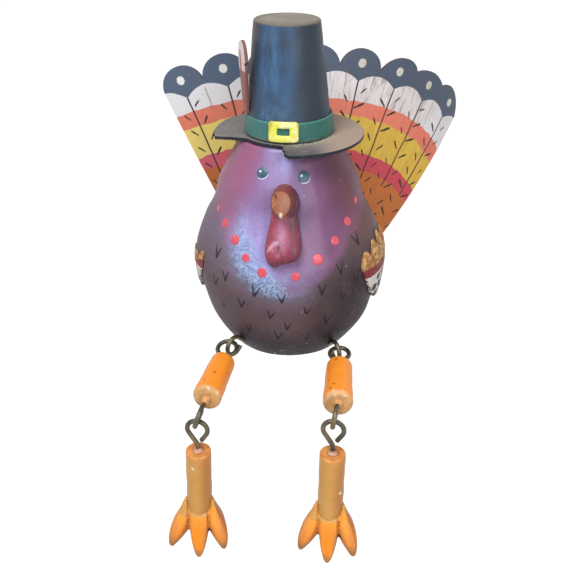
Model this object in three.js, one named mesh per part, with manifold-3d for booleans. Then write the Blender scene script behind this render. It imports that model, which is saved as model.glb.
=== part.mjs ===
// A turkey shelf sitter: a painted gourd-shaped body with a pilgrim hat, a fan tail and two dangling
// legs of dowel, linked to the body and at the knees by screw eyes.
// Millimetres. The origin is the centre of the flat seat, +Z is up and the beak points to -Y.
// Left and right are the viewer's, looking at the face: left is -X.
import * as THREE from "three";
import { mergeVertices } from "three/addons/utils/BufferGeometryUtils.js";
import Module from "manifold-3d";

const wasm = await Module();
wasm.setup();

// Fits that all the pieces share
const glueGap = 0.3;
const faceGap = 0.36;
const cutOverrun = 3;

// Body, a turned pear shape with a flat seat and a flat top
const bodyHeight = 107;
const bodyRadius = 47.2;

// Tail, a thin board sawn to a scalloped fan, bowed back and glued to a seat in the body's back
const tailFeathers = 8;
const tailApexDrop = 35.1;
const tailTipRadius = 174;
const tailCuspRadius = 164;
const tailRootReach = 52;
const tailThickness = 1.6;
const tailBowRadius = 149.4;
const tailSeatDepth = 1;
const tailHalfAngle = THREE.MathUtils.degToRad(34.2);
const tailTilt = THREE.MathUtils.degToRad(7.9);
const tailTwist = THREE.MathUtils.degToRad(12.7);

// Wings, thin carved reliefs that follow the body's side
const wingLobes = 7;
const wingTopHeight = 58.5;
const wingTipHeight = 26;
const wingFrontHeight = 51.5;
const wingLobeHeight = 3.6;
const wingThickness = 1.4;
const wingGap = 0.5;
const wingFrontAngle = THREE.MathUtils.degToRad(51);
const wingBackAngle = THREE.MathUtils.degToRad(121);

// Face: a hooked beak under a fleshy snood, and the wattle below it
const faceOffset = 1.5;
const snoodBelowBeak = 4.5;
const snoodWidth = 12.4;
const snoodLength = 17.6;
const snoodDepth = 8.6;
const beakBelowTop = 15;
const beakWidth = 10.7;
const beakReach = 16.5;
const beakDrop = 7.6;
const beakSink = 2.4;
const wattleBelowSnood = 4;
const wattleLength = 23.4;
const wattleWidth = 17.2;
const wattleThickness = 6.4;

// Hat: a thin brim with a piece broken off at the front, a tapered crown, a band and a buckle
const brimRadius = 35.6;
const brimThickness = 1.8;
const crownHeight = 50.6;
const crownBaseRadius = 20.5;
const crownTopRadius = 15;
const crownEdgeRound = 0.8;
const bandHeight = 8.8;
const bandThickness = 0.7;
const buckleWidth = 13.2;
const buckleHeight = 10.2;
const buckleBar = 3.3;
const buckleCorner = 1.1;
const buckleThickness = 0.9;
const featherLength = 32;
const featherWidth = 10.5;
const featherThickness = 1.7;

// Screw eyes, bent from one wire, and the play where two of them link
const eyeWireRadius = 1.12;
const eyeLoopRadius = 4.75;
const eyeNeckReach = 6.9;
const eyeEndGap = 0.4;
const kneePlay = 0.4;
const bodyEyeShank = 14;
const bodyEyeStandoff = 7;
const hipAngle = { left: THREE.MathUtils.degToRad(-34.6), right: THREE.MathUtils.degToRad(39.2) };
const hipHeight = { left: 9.9, right: 8 };
const hipRise = { left: 1.6, right: 1.6 };
const hipEyeFacing = { left: THREE.MathUtils.degToRad(-34), right: THREE.MathUtils.degToRad(28) };

// Legs of dowel: the thighs lie forward on the shelf and the shins hang over its edge
const thighHipRadius = { left: 6, right: 6.25 };
const thighKneeRadius = { left: 6.7, right: 6.9 };
const thighLength = 31.2;
const thighEndRound = 2.2;
const legEyeShank = 9;
const thighEyeNeck = { left: 0.8, right: 1.5 };
const thighEyeFacing = { left: THREE.MathUtils.degToRad(-38), right: THREE.MathUtils.degToRad(28) };
const kneeEyeNeck = { left: 2.9, right: 1.5 };
const kneeEyeTurn = { left: THREE.MathUtils.degToRad(-5), right: THREE.MathUtils.degToRad(-6) };
const kneeEyeRoll = { left: THREE.MathUtils.degToRad(18), right: THREE.MathUtils.degToRad(7.5) };
const kneeEyeDip = { left: THREE.MathUtils.degToRad(20), right: THREE.MathUtils.degToRad(3) };
const kneeHang = THREE.MathUtils.degToRad(50);
const shinRadius = { left: 5.9, right: 6 };
const shinLength = { left: 36.5, right: 37.6 };
const shinEndRound = 0.7;
const shinEyeNeckReach = 8.9;
const shinEyeNeck = { left: 3.3, right: 4.5 };
const shinLean = { left: THREE.MathUtils.degToRad(1.8), right: THREE.MathUtils.degToRad(0.3) };
const legSplay = { left: THREE.MathUtils.degToRad(-4.8), right: THREE.MathUtils.degToRad(1.2) };
const footTurn = { left: THREE.MathUtils.degToRad(3), right: THREE.MathUtils.degToRad(-3.5) };

// Feet: three carved toes round the end of each shin
const toeWidth = 8.6;
const toeDepth = 9.4;
const toeReach = 10.4;
const toeSpread = 12.4;
const middleToeLength = 20.7;
const sideToeLength = 22.6;
const sideToeRise = 7.5;

// Fineness of the round forms
const bodySides = 48;
const hatSides = 48;
const dowelSides = 24;
const wireSides = 8;
const wireSteps = 22;
const loftSides = 12;

// Finishes
const paint = (color, roughness, metalness = 0) =>
  new THREE.MeshStandardMaterial({ color, roughness, metalness });
const finishes = {
  body: paint(0x62505a, 0.4),
  wing: paint(0xc8963c, 0.6),
  tail: paint(0xd99a3a, 0.6),
  beak: paint(0xb9743f, 0.45),
  flesh: paint(0x963540, 0.4),
  brim: paint(0x80746a, 0.7),
  crown: paint(0x3f5068, 0.45),
  band: paint(0x2f6b60, 0.5),
  buckle: paint(0xe6e35c, 0.45),
  feather: paint(0x8e5f52, 0.6),
  orange: paint(0xf79a35, 0.5),
  shin: paint(0xd49a50, 0.5),
  wire: paint(0x5a5850, 0.4, 0.8),
};

// Joining and cutting closed meshes
function solidOf(geometry) {
  const bare = geometry.index ? geometry.clone() : geometry;
  for (const name of Object.keys(bare.attributes)) if (name !== "position") bare.deleteAttribute(name);
  const merged = mergeVertices(bare, glueGap / 1000);
  const vertProperties = new Float32Array(merged.attributes.position.array);
  const triVerts = new Uint32Array(merged.index.array);
  const solid = new wasm.Manifold(new wasm.Mesh({ numProp: 3, vertProperties, triVerts }));
  if (solid.volume() > 0) return solid;
  for (let i = 0; i < triVerts.length; i += 3) {
    [triVerts[i + 1], triVerts[i + 2]] = [triVerts[i + 2], triVerts[i + 1]];
  }
  return new wasm.Manifold(new wasm.Mesh({ numProp: 3, vertProperties, triVerts }));
}

function geometryOf(solid) {
  const mesh = solid.getMesh();
  const position = new THREE.Float32BufferAttribute(mesh.vertProperties, mesh.numProp);
  const geometry = new THREE.BufferGeometry().setAttribute("position", position);
  geometry.setIndex(new THREE.Uint32BufferAttribute(mesh.triVerts, 1));
  return geometry;
}

function addPiece(parent, name, solid, finish) {
  const mesh = new THREE.Mesh(geometryOf(solid), finishes[finish]);
  mesh.geometry.computeVertexNormals();
  mesh.name = name;
  parent.add(mesh);
  return mesh;
}

// A closed sheet between a front and a back grid of points, each listed column by column
function sheet(front, back) {
  const columns = front.length;
  const rows = front[0].length;
  const points = [...front.flat(), ...back.flat()];
  const at = (side, column, row) => side * columns * rows + column * rows + row;
  const faces = [];
  const quad = (a, b, c, d) => faces.push(a, b, c, a, c, d);
  for (let i = 0; i + 1 < columns; i += 1) {
    for (let j = 0; j + 1 < rows; j += 1) {
      quad(at(0, i, j), at(0, i + 1, j), at(0, i + 1, j + 1), at(0, i, j + 1));
      quad(at(1, i, j), at(1, i, j + 1), at(1, i + 1, j + 1), at(1, i + 1, j));
    }
    quad(at(0, i, 0), at(1, i, 0), at(1, i + 1, 0), at(0, i + 1, 0));
    const last = rows - 1;
    quad(at(0, i, last), at(0, i + 1, last), at(1, i + 1, last), at(1, i, last));
  }
  for (let j = 0; j + 1 < rows; j += 1) {
    quad(at(0, 0, j), at(0, 0, j + 1), at(1, 0, j + 1), at(1, 0, j));
    const last = columns - 1;
    quad(at(0, last, j), at(1, last, j), at(1, last, j + 1), at(0, last, j + 1));
  }
  return solidOf(new THREE.BufferGeometry().setFromPoints(points).setIndex(faces));
}

// A loft through oval sections, each with a centre and two half-axis vectors, closed at its ends
function loft(sections) {
  const points = [];
  for (const { centre, across, along } of sections) {
    for (let k = 0; k < loftSides; k += 1) {
      const turn = (2 * Math.PI * k) / loftSides;
      const point = centre.clone().addScaledVector(across, Math.cos(turn));
      points.push(point.addScaledVector(along, Math.sin(turn)));
    }
  }
  const faces = [];
  for (let i = 0; i + 1 < sections.length; i += 1) {
    for (let k = 0; k < loftSides; k += 1) {
      const next = (k + 1) % loftSides;
      const [a, b] = [i * loftSides + k, i * loftSides + next];
      faces.push(a, b, b + loftSides, a, b + loftSides, a + loftSides);
    }
  }
  const first = points.push(sections[0].centre) - 1;
  const last = points.push(sections.at(-1).centre) - 1;
  const top = (sections.length - 1) * loftSides;
  for (let k = 0; k < loftSides; k += 1) {
    const next = (k + 1) % loftSides;
    faces.push(first, next, k, last, top + k, top + next);
  }
  return solidOf(new THREE.BufferGeometry().setFromPoints(points).setIndex(faces));
}

// A turned solid whose profile of [radius, height] points runs from the axis to the axis
function turned(profile, sides) {
  const outline = profile.map(([radius, height]) => new THREE.Vector2(radius, height));
  return solidOf(new THREE.LatheGeometry(outline, sides).rotateX(Math.PI / 2));
}

// Body outline as shares of its height and radius, from the seat's edge to the top's edge
const bodyProfileShares = [
  [0, 0.633],
  [0.075, 0.758],
  [0.168, 0.867],
  [0.28, 0.939],
  [0.393, 0.996],
  [0.45, 1],
  [0.514, 0.983],
  [0.617, 0.894],
  [0.71, 0.786],
  [0.822, 0.708],
  [0.935, 0.572],
  [1, 0.494],
];
const bodyProfileSteps = 28;
const bodyProfile = new THREE.SplineCurve(
  bodyProfileShares.map(([rise, reach]) => new THREE.Vector2(reach * bodyRadius, rise * bodyHeight)),
).getSpacedPoints(bodyProfileSteps);

function bodyRadiusAt(height) {
  const above = bodyProfile.findIndex((point) => point.y >= height);
  const [low, high] = [bodyProfile[Math.max(above - 1, 0)], bodyProfile[above]];
  return above > 0 ? low.x + ((high.x - low.x) * (height - low.y)) / (high.y - low.y) : high.x;
}

function bodySolid(growth) {
  const side = bodyProfile.map((point) => [point.x + growth, point.y]);
  return turned([[0, 0], ...side, [0, bodyHeight]], bodySides);
}

// A point off the body's surface, by its angle from the front towards +X
function onBody(angle, height, offset) {
  const radius = bodyRadiusAt(height) + offset;
  return new THREE.Vector3(radius * Math.sin(angle), -radius * Math.cos(angle), height);
}

// Tail: a flat scalloped fan, drawn in polar form about its apex and then bowed round a tall cylinder
const tailRowShares = [0, 0.25, 0.45, 0.62, 0.78, 0.9, 1];
const tailCuspShares = [1, 1, 1, 1, 1, 1, 1.035, 1.04, 1];
const tailColumnsPerFeather = 8;

function fanPoint(radius, angle) {
  return new THREE.Vector2(radius * Math.sin(angle), radius * Math.cos(angle));
}

// The arc of one scallop, through its two cusps and its tip
function scallopPoints(start, tip, end, count) {
  const [ax, ay, bx, by] = [tip.x - start.x, tip.y - start.y, end.x - start.x, end.y - start.y];
  const cross = 2 * (ax * by - ay * bx);
  const [a2, b2] = [ax * ax + ay * ay, bx * bx + by * by];
  const centre = new THREE.Vector2((by * a2 - ay * b2) / cross, (ax * b2 - bx * a2) / cross).add(start);
  const radius = centre.distanceTo(start);
  const from = Math.atan2(start.y - centre.y, start.x - centre.x);
  let sweep = Math.atan2(end.y - centre.y, end.x - centre.x) - from;
  if (sweep > 0) sweep -= 2 * Math.PI;
  return Array.from({ length: count }, (_, j) => {
    const turn = from + (sweep * j) / count;
    return new THREE.Vector2(centre.x + radius * Math.cos(turn), centre.y + radius * Math.sin(turn));
  });
}

function tailEdge() {
  const step = (2 * tailHalfAngle) / tailFeathers;
  const cuspShare = (k) => tailCuspShares[Math.min(k, tailCuspShares.length - 1)];
  const cusp = (k) => fanPoint(tailCuspRadius * cuspShare(k), k * step - tailHalfAngle);
  const edge = [];
  for (let k = 0; k < tailFeathers; k += 1) {
    const tip = fanPoint(tailTipRadius, (k + 1 / 2) * step - tailHalfAngle);
    edge.push(...scallopPoints(cusp(k), tip, cusp(k + 1), tailColumnsPerFeather));
  }
  return [...edge, cusp(tailFeathers)];
}

// Where the fan's board stands: its bow touches the body's back, sunk by the depth of its seat
function bowed(point, depth) {
  const turned = point.clone().rotateAround(new THREE.Vector2(), -tailTilt);
  const bend = turned.x / tailBowRadius;
  const radius = tailBowRadius - depth;
  const spread = tailBowRadius + bodyRadius - tailSeatDepth;
  const back = Math.sqrt(spread ** 2 - (tailBowRadius * Math.sin(tailTwist)) ** 2);
  return new THREE.Vector3(radius * Math.sin(bend), tailBowRadius - radius * Math.cos(bend), turned.y)
    .applyAxisAngle(new THREE.Vector3(0, 0, 1), tailTwist)
    .add(new THREE.Vector3(0, back - tailBowRadius * Math.cos(tailTwist), -tailApexDrop));
}

function tailSolid(growth) {
  const face = (depth) =>
    tailEdge().map((tip) => {
      const angle = Math.atan2(tip.x, tip.y);
      const root = fanPoint(tailRootReach / Math.cos(angle), angle);
      return tailRowShares.map((share) => bowed(root.clone().lerp(tip, share), depth));
    });
  return sheet(face(-growth), face(tailThickness + growth));
}

// Wings: the lower edge is a rounded point and the upper edge a row of finger lobes
const wingRowShares = [0, 0.14, 0.38, 0.62, 0.86, 1];
const wingColumnsPerLobe = 4;
const wingRimShare = 0.45;
const wingTipShare = 0.47;
const wingEdgePower = 2.2;

function wingSolid(side) {
  const count = wingLobes * wingColumnsPerLobe;
  const columns = Array.from({ length: count + 1 }, (_, i) => i / count);
  const face = (height) =>
    columns.map((share) => {
      const angle = side * THREE.MathUtils.lerp(wingFrontAngle, wingBackAngle, share);
      const away = (share - wingTipShare) / (share > wingTipShare ? 1 - wingTipShare : wingTipShare);
      const fall = Math.abs(away) ** wingEdgePower;
      const low = THREE.MathUtils.lerp(wingTipHeight, wingFrontHeight, fall);
      const lobe = Math.abs(Math.sin(Math.PI * share * wingLobes));
      const high = wingTopHeight + wingLobeHeight * Math.sqrt(lobe);
      return wingRowShares.map((row) => {
        const inside = Math.min(1, 4 * share, 4 - 4 * share) * Math.min(1, 4 * row, 4 - 4 * row);
        const swell = THREE.MathUtils.lerp(wingRimShare, 1, inside);
        const offset = wingGap + height * swell * wingThickness;
        return onBody(angle, THREE.MathUtils.lerp(low, high, row), offset);
      });
    });
  return sheet(face(1), face(0));
}

// The face's pieces are placed one below the other, down from the body's top
const beakHeight = bodyHeight - beakBelowTop;
const snoodHeight = beakHeight - snoodBelowBeak;
const wattleTopHeight = snoodHeight - wattleBelowSnood;

// Snood: an egg of flesh on the face, cut back to the body's surface
function snoodSolid(growth) {
  const egg = new THREE.SphereGeometry(1, 18, 12).rotateX(Math.PI / 2);
  egg.scale(snoodWidth / 2 + growth, snoodDepth + growth, snoodLength / 2 + growth);
  const seatShare = 0.14;
  const out = bodyRadiusAt(snoodHeight) - seatShare * snoodDepth;
  return solidOf(egg.translate(faceOffset, -out, snoodHeight));
}

// Beak sections from root to tip: shares of its reach, drop and half width, and its skew to one side
const beakShares = [
  { reach: 0, drop: 0, width: 0.94, skew: 0.35 },
  { reach: 0.3, drop: 0, width: 1, skew: 0.35 },
  { reach: 0.55, drop: 0.02, width: 0.95, skew: 0.35 },
  { reach: 0.75, drop: 0.2, width: 0.78, skew: 0.4 },
  { reach: 0.88, drop: 0.5, width: 0.56, skew: 0.5 },
  { reach: 0.96, drop: 0.8, width: 0.38, skew: 0.55 },
  { reach: 1, drop: 1, width: 0.16, skew: 0.6 },
];
const beakThicknessShare = 0.86;

function beakSolid(growth) {
  const start = bodyRadiusAt(beakHeight) - beakSink - growth;
  const centres = beakShares.map(({ reach, drop, skew }) => {
    const out = start + reach * (beakReach + growth);
    return new THREE.Vector3(skew * faceOffset, -out, beakHeight - drop * beakDrop);
  });
  const sections = beakShares.map(({ width }, i) => {
    const [from, to] = [centres[Math.max(i - 1, 0)], centres[Math.min(i + 1, centres.length - 1)]];
    const across = new THREE.Vector3(1, 0, 0);
    const along = new THREE.Vector3().subVectors(to, from).normalize().cross(across);
    const half = (width * beakWidth) / 2 + growth;
    across.multiplyScalar(half);
    return { centre: centres[i], across, along: along.multiplyScalar(half * beakThicknessShare) };
  });
  return loft(sections);
}

// Wattle: two drop-shaped lobes side by side, the left one the longer
const wattleSectionShares = [
  { fall: 0, out: 0.2, width: 0.5, thick: 0.5 },
  { fall: 0.25, out: 0.2, width: 0.72, thick: 0.72 },
  { fall: 0.5, out: 0.25, width: 0.93, thick: 0.92 },
  { fall: 0.72, out: 0.25, width: 1, thick: 1 },
  { fall: 0.9, out: 0.25, width: 0.72, thick: 0.75 },
  { fall: 1, out: 0.2, width: 0.3, thick: 0.32 },
];
const wattleLobeShares = { left: 1, right: 0.9 };
const wattleTopSpreadShare = 0.13;
const wattleLobeWidthShare = 0.283;
const wattleSpreadShare = 0.235;

function wattleLobe(side, lengthShare) {
  const sections = wattleSectionShares.map(({ fall, out, width, thick }) => {
    const height = wattleTopHeight - fall * lengthShare * wattleLength;
    const spreadShare = THREE.MathUtils.lerp(wattleTopSpreadShare, wattleSpreadShare, fall);
    const centre = onBody(0, height, out * wattleThickness);
    centre.x = faceOffset + side * spreadShare * wattleWidth;
    const across = new THREE.Vector3(width * wattleLobeWidthShare * wattleWidth, 0, 0);
    return { centre, across, along: new THREE.Vector3(0, (thick * wattleThickness * 3) / 4, 0) };
  });
  return loft(sections);
}

function addFace(group, bodyCutter) {
  const wattle = wattleLobe(-1, wattleLobeShares.left).add(wattleLobe(1, wattleLobeShares.right));
  const beak = beakSolid(0).subtract(bodyCutter);
  const snood = snoodSolid(0).subtract(bodyCutter).subtract(beakSolid(glueGap));
  addPiece(group, "beak", beak, "beak");
  addPiece(group, "snood", largest(snood), "flesh");
  const hanging = wattle.subtract(bodyCutter).subtract(snoodSolid(glueGap)).subtract(beakSolid(glueGap));
  addPiece(group, "wattle", largest(hanging), "flesh");
}

// A cut can leave crumbs beside the piece itself, so the piece is the largest of what is left
function largest(solid) {
  return solid.decompose().reduce((best, next) => (next.volume() > best.volume() ? next : best));
}

// Hat brim: the broken edge runs to the band, round it and out again at the front
const brimChipShares = [
  [-1.2, -0.33],
  [-0.67, -0.34],
  [-0.5, -0.385],
  [-0.42, -0.47],
  [-0.3, -0.545],
  [-0.18, -0.595],
  [-0.07, -0.62],
  [0, -0.66],
  [-0.012, -0.76],
  [0.04, -0.84],
  [0.025, -0.92],
  [0.085, -1.02],
  [0.1, -1.2],
  [-1.2, -1.2],
];

function brimSolid() {
  const disc = new THREE.CylinderGeometry(brimRadius, brimRadius, brimThickness, hatSides);
  const outline = brimChipShares.map(([x, y]) => new THREE.Vector2(x * brimRadius, y * brimRadius));
  const depth = brimThickness + 2 * cutOverrun;
  const chip = new THREE.ExtrudeGeometry(new THREE.Shape(outline), { depth, bevelEnabled: false });
  const lift = brimThickness / 2;
  return solidOf(disc.rotateX(Math.PI / 2).translate(0, 0, lift)).subtract(
    solidOf(chip.translate(0, 0, -cutOverrun)),
  );
}

// The crown's radius at a height above the brim
function crownRadiusAt(height) {
  return THREE.MathUtils.lerp(crownBaseRadius, crownTopRadius, height / crownHeight);
}

function crownSolid() {
  const shoulder = crownRadiusAt(crownHeight - crownEdgeRound);
  const profile = [
    [0, 0],
    [crownBaseRadius, 0],
    [shoulder, crownHeight - crownEdgeRound],
    [shoulder - crownEdgeRound / 3, crownHeight - crownEdgeRound / 3],
    [shoulder - crownEdgeRound, crownHeight],
    [0, crownHeight],
  ];
  return turned(profile, hatSides);
}

// A sleeve round the crown between two heights, from one offset off its surface to another
function crownSleeve(low, high, inner, outer) {
  const profile = [
    [crownRadiusAt(low) + inner, low],
    [crownRadiusAt(low) + outer, low],
    [crownRadiusAt(high) + outer, high],
    [crownRadiusAt(high) + inner, high],
    [crownRadiusAt(low) + inner, low],
  ];
  return turned(profile, hatSides);
}

function roundedRectangle(width, height, corner) {
  const [x, y] = [width / 2, height / 2];
  const outline = new THREE.Shape().moveTo(-x + corner, -y).lineTo(x - corner, -y);
  outline.absarc(x - corner, -y + corner, corner, -Math.PI / 2, 0).lineTo(x, y - corner);
  outline.absarc(x - corner, y - corner, corner, 0, Math.PI / 2).lineTo(-x + corner, y);
  outline.absarc(-x + corner, y - corner, corner, Math.PI / 2, Math.PI).lineTo(-x, -y + corner);
  return outline.absarc(-x + corner, -y + corner, corner, Math.PI, 1.5 * Math.PI);
}

function buckleSolid() {
  const outline = roundedRectangle(buckleWidth, buckleHeight, buckleCorner);
  const hole = roundedRectangle(buckleWidth - 2 * buckleBar, buckleHeight - 2 * buckleBar, buckleCorner / 2);
  outline.holes.push(hole);
  const options = { depth: crownBaseRadius * 2, bevelEnabled: false, curveSegments: 3 };
  const plate = new THREE.ExtrudeGeometry(outline, options).rotateX(Math.PI / 2);
  const inner = bandThickness + 2 * glueGap;
  const sleeve = crownSleeve(0, crownHeight / 2, inner, inner + buckleThickness);
  return sleeve.intersect(solidOf(plate.translate(0, 0, glueGap + buckleHeight / 2)));
}

// Hat feather: a leaf-shaped slip stood up against the crown's left side, notched near its tip
const featherOutlineShares = [
  [-0.3, 0],
  [0.3, 0],
  [0.42, 0.3],
  [0.5, 0.62],
  [0.44, 0.84],
  [0.26, 0.96],
  [0, 1],
  [-0.26, 0.96],
  [-0.44, 0.84],
  [-0.5, 0.7],
];
const featherNotchShares = [
  [-0.52, 0.64],
  [-0.34, 0.6],
  [-0.47, 0.58],
];
const featherLean = THREE.MathUtils.degToRad(-3);

function featherSolid() {
  const corner = ([x, y]) => new THREE.Vector2(x * featherWidth, y * featherLength);
  const outline = new THREE.Shape([...featherOutlineShares, ...featherNotchShares].map(corner));
  const options = { depth: featherThickness, bevelEnabled: false };
  const slip = new THREE.ExtrudeGeometry(outline, options).rotateX(Math.PI / 2).rotateZ(-Math.PI / 2);
  const foot = bandHeight + 2 * glueGap;
  const out = crownRadiusAt(foot) + glueGap;
  return solidOf(slip.rotateY(featherLean).translate(-out, 0, foot));
}

function addHat(group) {
  const hat = new THREE.Group();
  hat.position.z = bodyHeight + glueGap;
  addPiece(hat, "hat_brim", brimSolid(), "brim");
  const upper = new THREE.Group();
  upper.position.z = brimThickness + glueGap;
  addPiece(upper, "hat_crown", crownSolid(), "crown");
  const band = crownSleeve(glueGap, glueGap + bandHeight, glueGap, glueGap + bandThickness);
  addPiece(upper, "hat_band", band, "band");
  addPiece(upper, "hat_buckle", buckleSolid(), "buckle");
  addPiece(upper, "hat_feather", featherSolid(), "feather");
  hat.add(upper);
  group.add(hat);
}

// A screw eye with its loop round the origin in the XZ plane and its shank down -Z. The wire's end
// stops just short of the neck, as a bent eye's does. A growth turns it into the cutter of its bore.
function screwEye(neckReach, shank, growth = 0) {
  const lean = Math.acos(eyeLoopRadius / neckReach);
  const onLoop = (turn) =>
    new THREE.Vector3(-eyeLoopRadius * Math.sin(turn), 0, -eyeLoopRadius * Math.cos(turn));
  const neck = new THREE.Vector3(0, 0, -neckReach);
  const arcSteps = 9;
  const arc = Array.from({ length: arcSteps + 1 }, (_, i) =>
    onLoop(lean + ((2 * Math.PI - 2 * lean) * i) / arcSteps),
  );
  const stop = (2 * eyeWireRadius + eyeEndGap) / (2 * eyeLoopRadius * Math.sin(lean));
  const straight = neck.distanceTo(arc[0]);
  const end = neck.clone().lerp(arc.at(-1), Math.min(1, (stop * neckReach) / straight));
  const tip = new THREE.Vector3(0, 0, -neckReach - shank - growth);
  const bend = new THREE.Vector3(0, 0, -neckReach - eyeWireRadius);
  const path = new THREE.CatmullRomCurve3([tip, bend, ...arc, end], false, "centripetal");
  const radius = eyeWireRadius + growth;
  const section = new THREE.Shape(
    Array.from({ length: wireSides }, (_, i) => {
      const turn = (2 * Math.PI * i) / wireSides;
      return new THREE.Vector2(radius * Math.cos(turn), radius * Math.sin(turn));
    }),
  );
  return new THREE.ExtrudeGeometry(section, { steps: wireSteps, extrudePath: path });
}

// A length of dowel down -Z from the origin with rounded rims, from one radius to another
function dowelSolid(length, rim, topRadius, endRadius) {
  const rimSteps = 2;
  const rounding = (radius, height, way) =>
    Array.from({ length: rimSteps + 1 }, (_, i) => {
      const turn = (Math.PI / 2) * (way > 0 ? i / rimSteps : 1 - i / rimSteps);
      return [radius - rim * (1 - Math.sin(turn)), height - way * rim * (1 - Math.cos(turn))];
    });
  const side = [...rounding(topRadius, 0, 1), ...rounding(endRadius, -length, -1)];
  return turned([[0, 0], ...side, [0, -length]], dowelSides);
}

// Toe sections from root to tip, as shares of the toe's own sizes
const middleToeShares = [
  { fall: 0, reach: 0.19, out: 0, width: 1, depth: 0.96 },
  { fall: 0.3, reach: 0.29, out: 0.01, width: 1, depth: 1 },
  { fall: 0.65, reach: 0.58, out: 0.02, width: 0.8, depth: 0.82 },
  { fall: 0.9, reach: 0.88, out: 0.03, width: 0.47, depth: 0.46 },
  { fall: 1, reach: 1.02, out: 0.03, width: 0.16, depth: 0.16 },
];
const sideToeShares = [
  { fall: 0, reach: 0.03, out: 0.46, width: 0.19, depth: 0.5 },
  { fall: 0.26, reach: 0.08, out: 0.5, width: 0.64, depth: 0.87 },
  { fall: 0.5, reach: 0.25, out: 0.64, width: 0.98, depth: 1.04 },
  { fall: 0.75, reach: 0.57, out: 0.82, width: 0.84, depth: 0.95 },
  { fall: 0.93, reach: 0.86, out: 0.96, width: 0.46, depth: 0.54 },
  { fall: 1, reach: 0.96, out: 1, width: 0.16, depth: 0.18 },
];

function toeSolid(shares, side, length, growth) {
  const sections = shares.map(({ fall, reach, out, width, depth }) => ({
    centre: new THREE.Vector3(side * out * toeSpread, -reach * toeReach, -fall * length),
    across: new THREE.Vector3((width * toeWidth) / 2 + growth, 0, 0),
    along: new THREE.Vector3(0, (depth * toeDepth) / 2 + growth, 0),
  }));
  return loft(sections);
}

// The toes of one foot, with the shin's end at the origin and the shin above it
function addFoot(group, side) {
  const [radius, length] = [shinRadius[side] + glueGap, shinLength[side]];
  const shin = new THREE.CylinderGeometry(radius, radius, length, dowelSides);
  const cutter = solidOf(shin.rotateX(Math.PI / 2).translate(0, 0, length / 2 - glueGap));
  const foot = new THREE.Group();
  foot.rotation.z = footTurn[side] - kneeEyeTurn[side];
  const middle = toeSolid(middleToeShares, 1, middleToeLength, 0);
  const neighbour = toeSolid(middleToeShares, 1, middleToeLength, glueGap);
  const drop = [0, 0, -glueGap];
  addPiece(foot, `toe_middle_${side}`, middle.translate(drop), "orange");
  for (const [name, way] of [["inner", side === "left" ? 1 : -1], ["outer", side === "left" ? -1 : 1]]) {
    const toe = toeSolid(sideToeShares, way, sideToeLength, 0).translate([0, 0, sideToeRise]);
    const cut = toe.subtract(cutter.add(neighbour));
    addPiece(foot, `toe_${name}_${side}`, largest(cut), "orange");
  }
  group.add(foot);
}

// Where two linked eyes sit: the wire of the hanging one lies over the other's, with some play
const linkDrop = eyeLoopRadius - 2 * eyeWireRadius - kneePlay;
const hipEyeHeight = (side) => hipHeight[side] - hipRise[side];
const hipEyeReach = (side) => bodyRadiusAt(hipEyeHeight(side)) + bodyEyeStandoff;

// A point at a reach in the direction of an angle from the front towards +X
function outward(angle, reach, height = 0) {
  return new THREE.Vector3(reach * Math.sin(angle), -reach * Math.cos(angle), height);
}

// A knee and all below it, hung from the origin
function addLowerLeg(group, side) {
  const eye = (growth) => {
    const geometry = screwEye(shinEyeNeckReach, shinEyeNeck[side] + legEyeShank, growth);
    return solidOf(geometry.translate(0, 0, -eyeLoopRadius));
  };
  const top = eyeLoopRadius + shinEyeNeckReach + shinEyeNeck[side];
  const dowel = dowelSolid(shinLength[side], shinEndRound, shinRadius[side], shinRadius[side]);
  const shin = dowel.translate([0, 0, -top]).subtract(eye(glueGap));
  addPiece(group, `shin_eye_${side}`, eye(0), "wire");
  addPiece(group, `shin_${side}`, shin, "shin");
  const foot = new THREE.Group();
  foot.position.z = -top - shinLength[side];
  addFoot(foot, side);
  group.add(foot);
}

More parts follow.
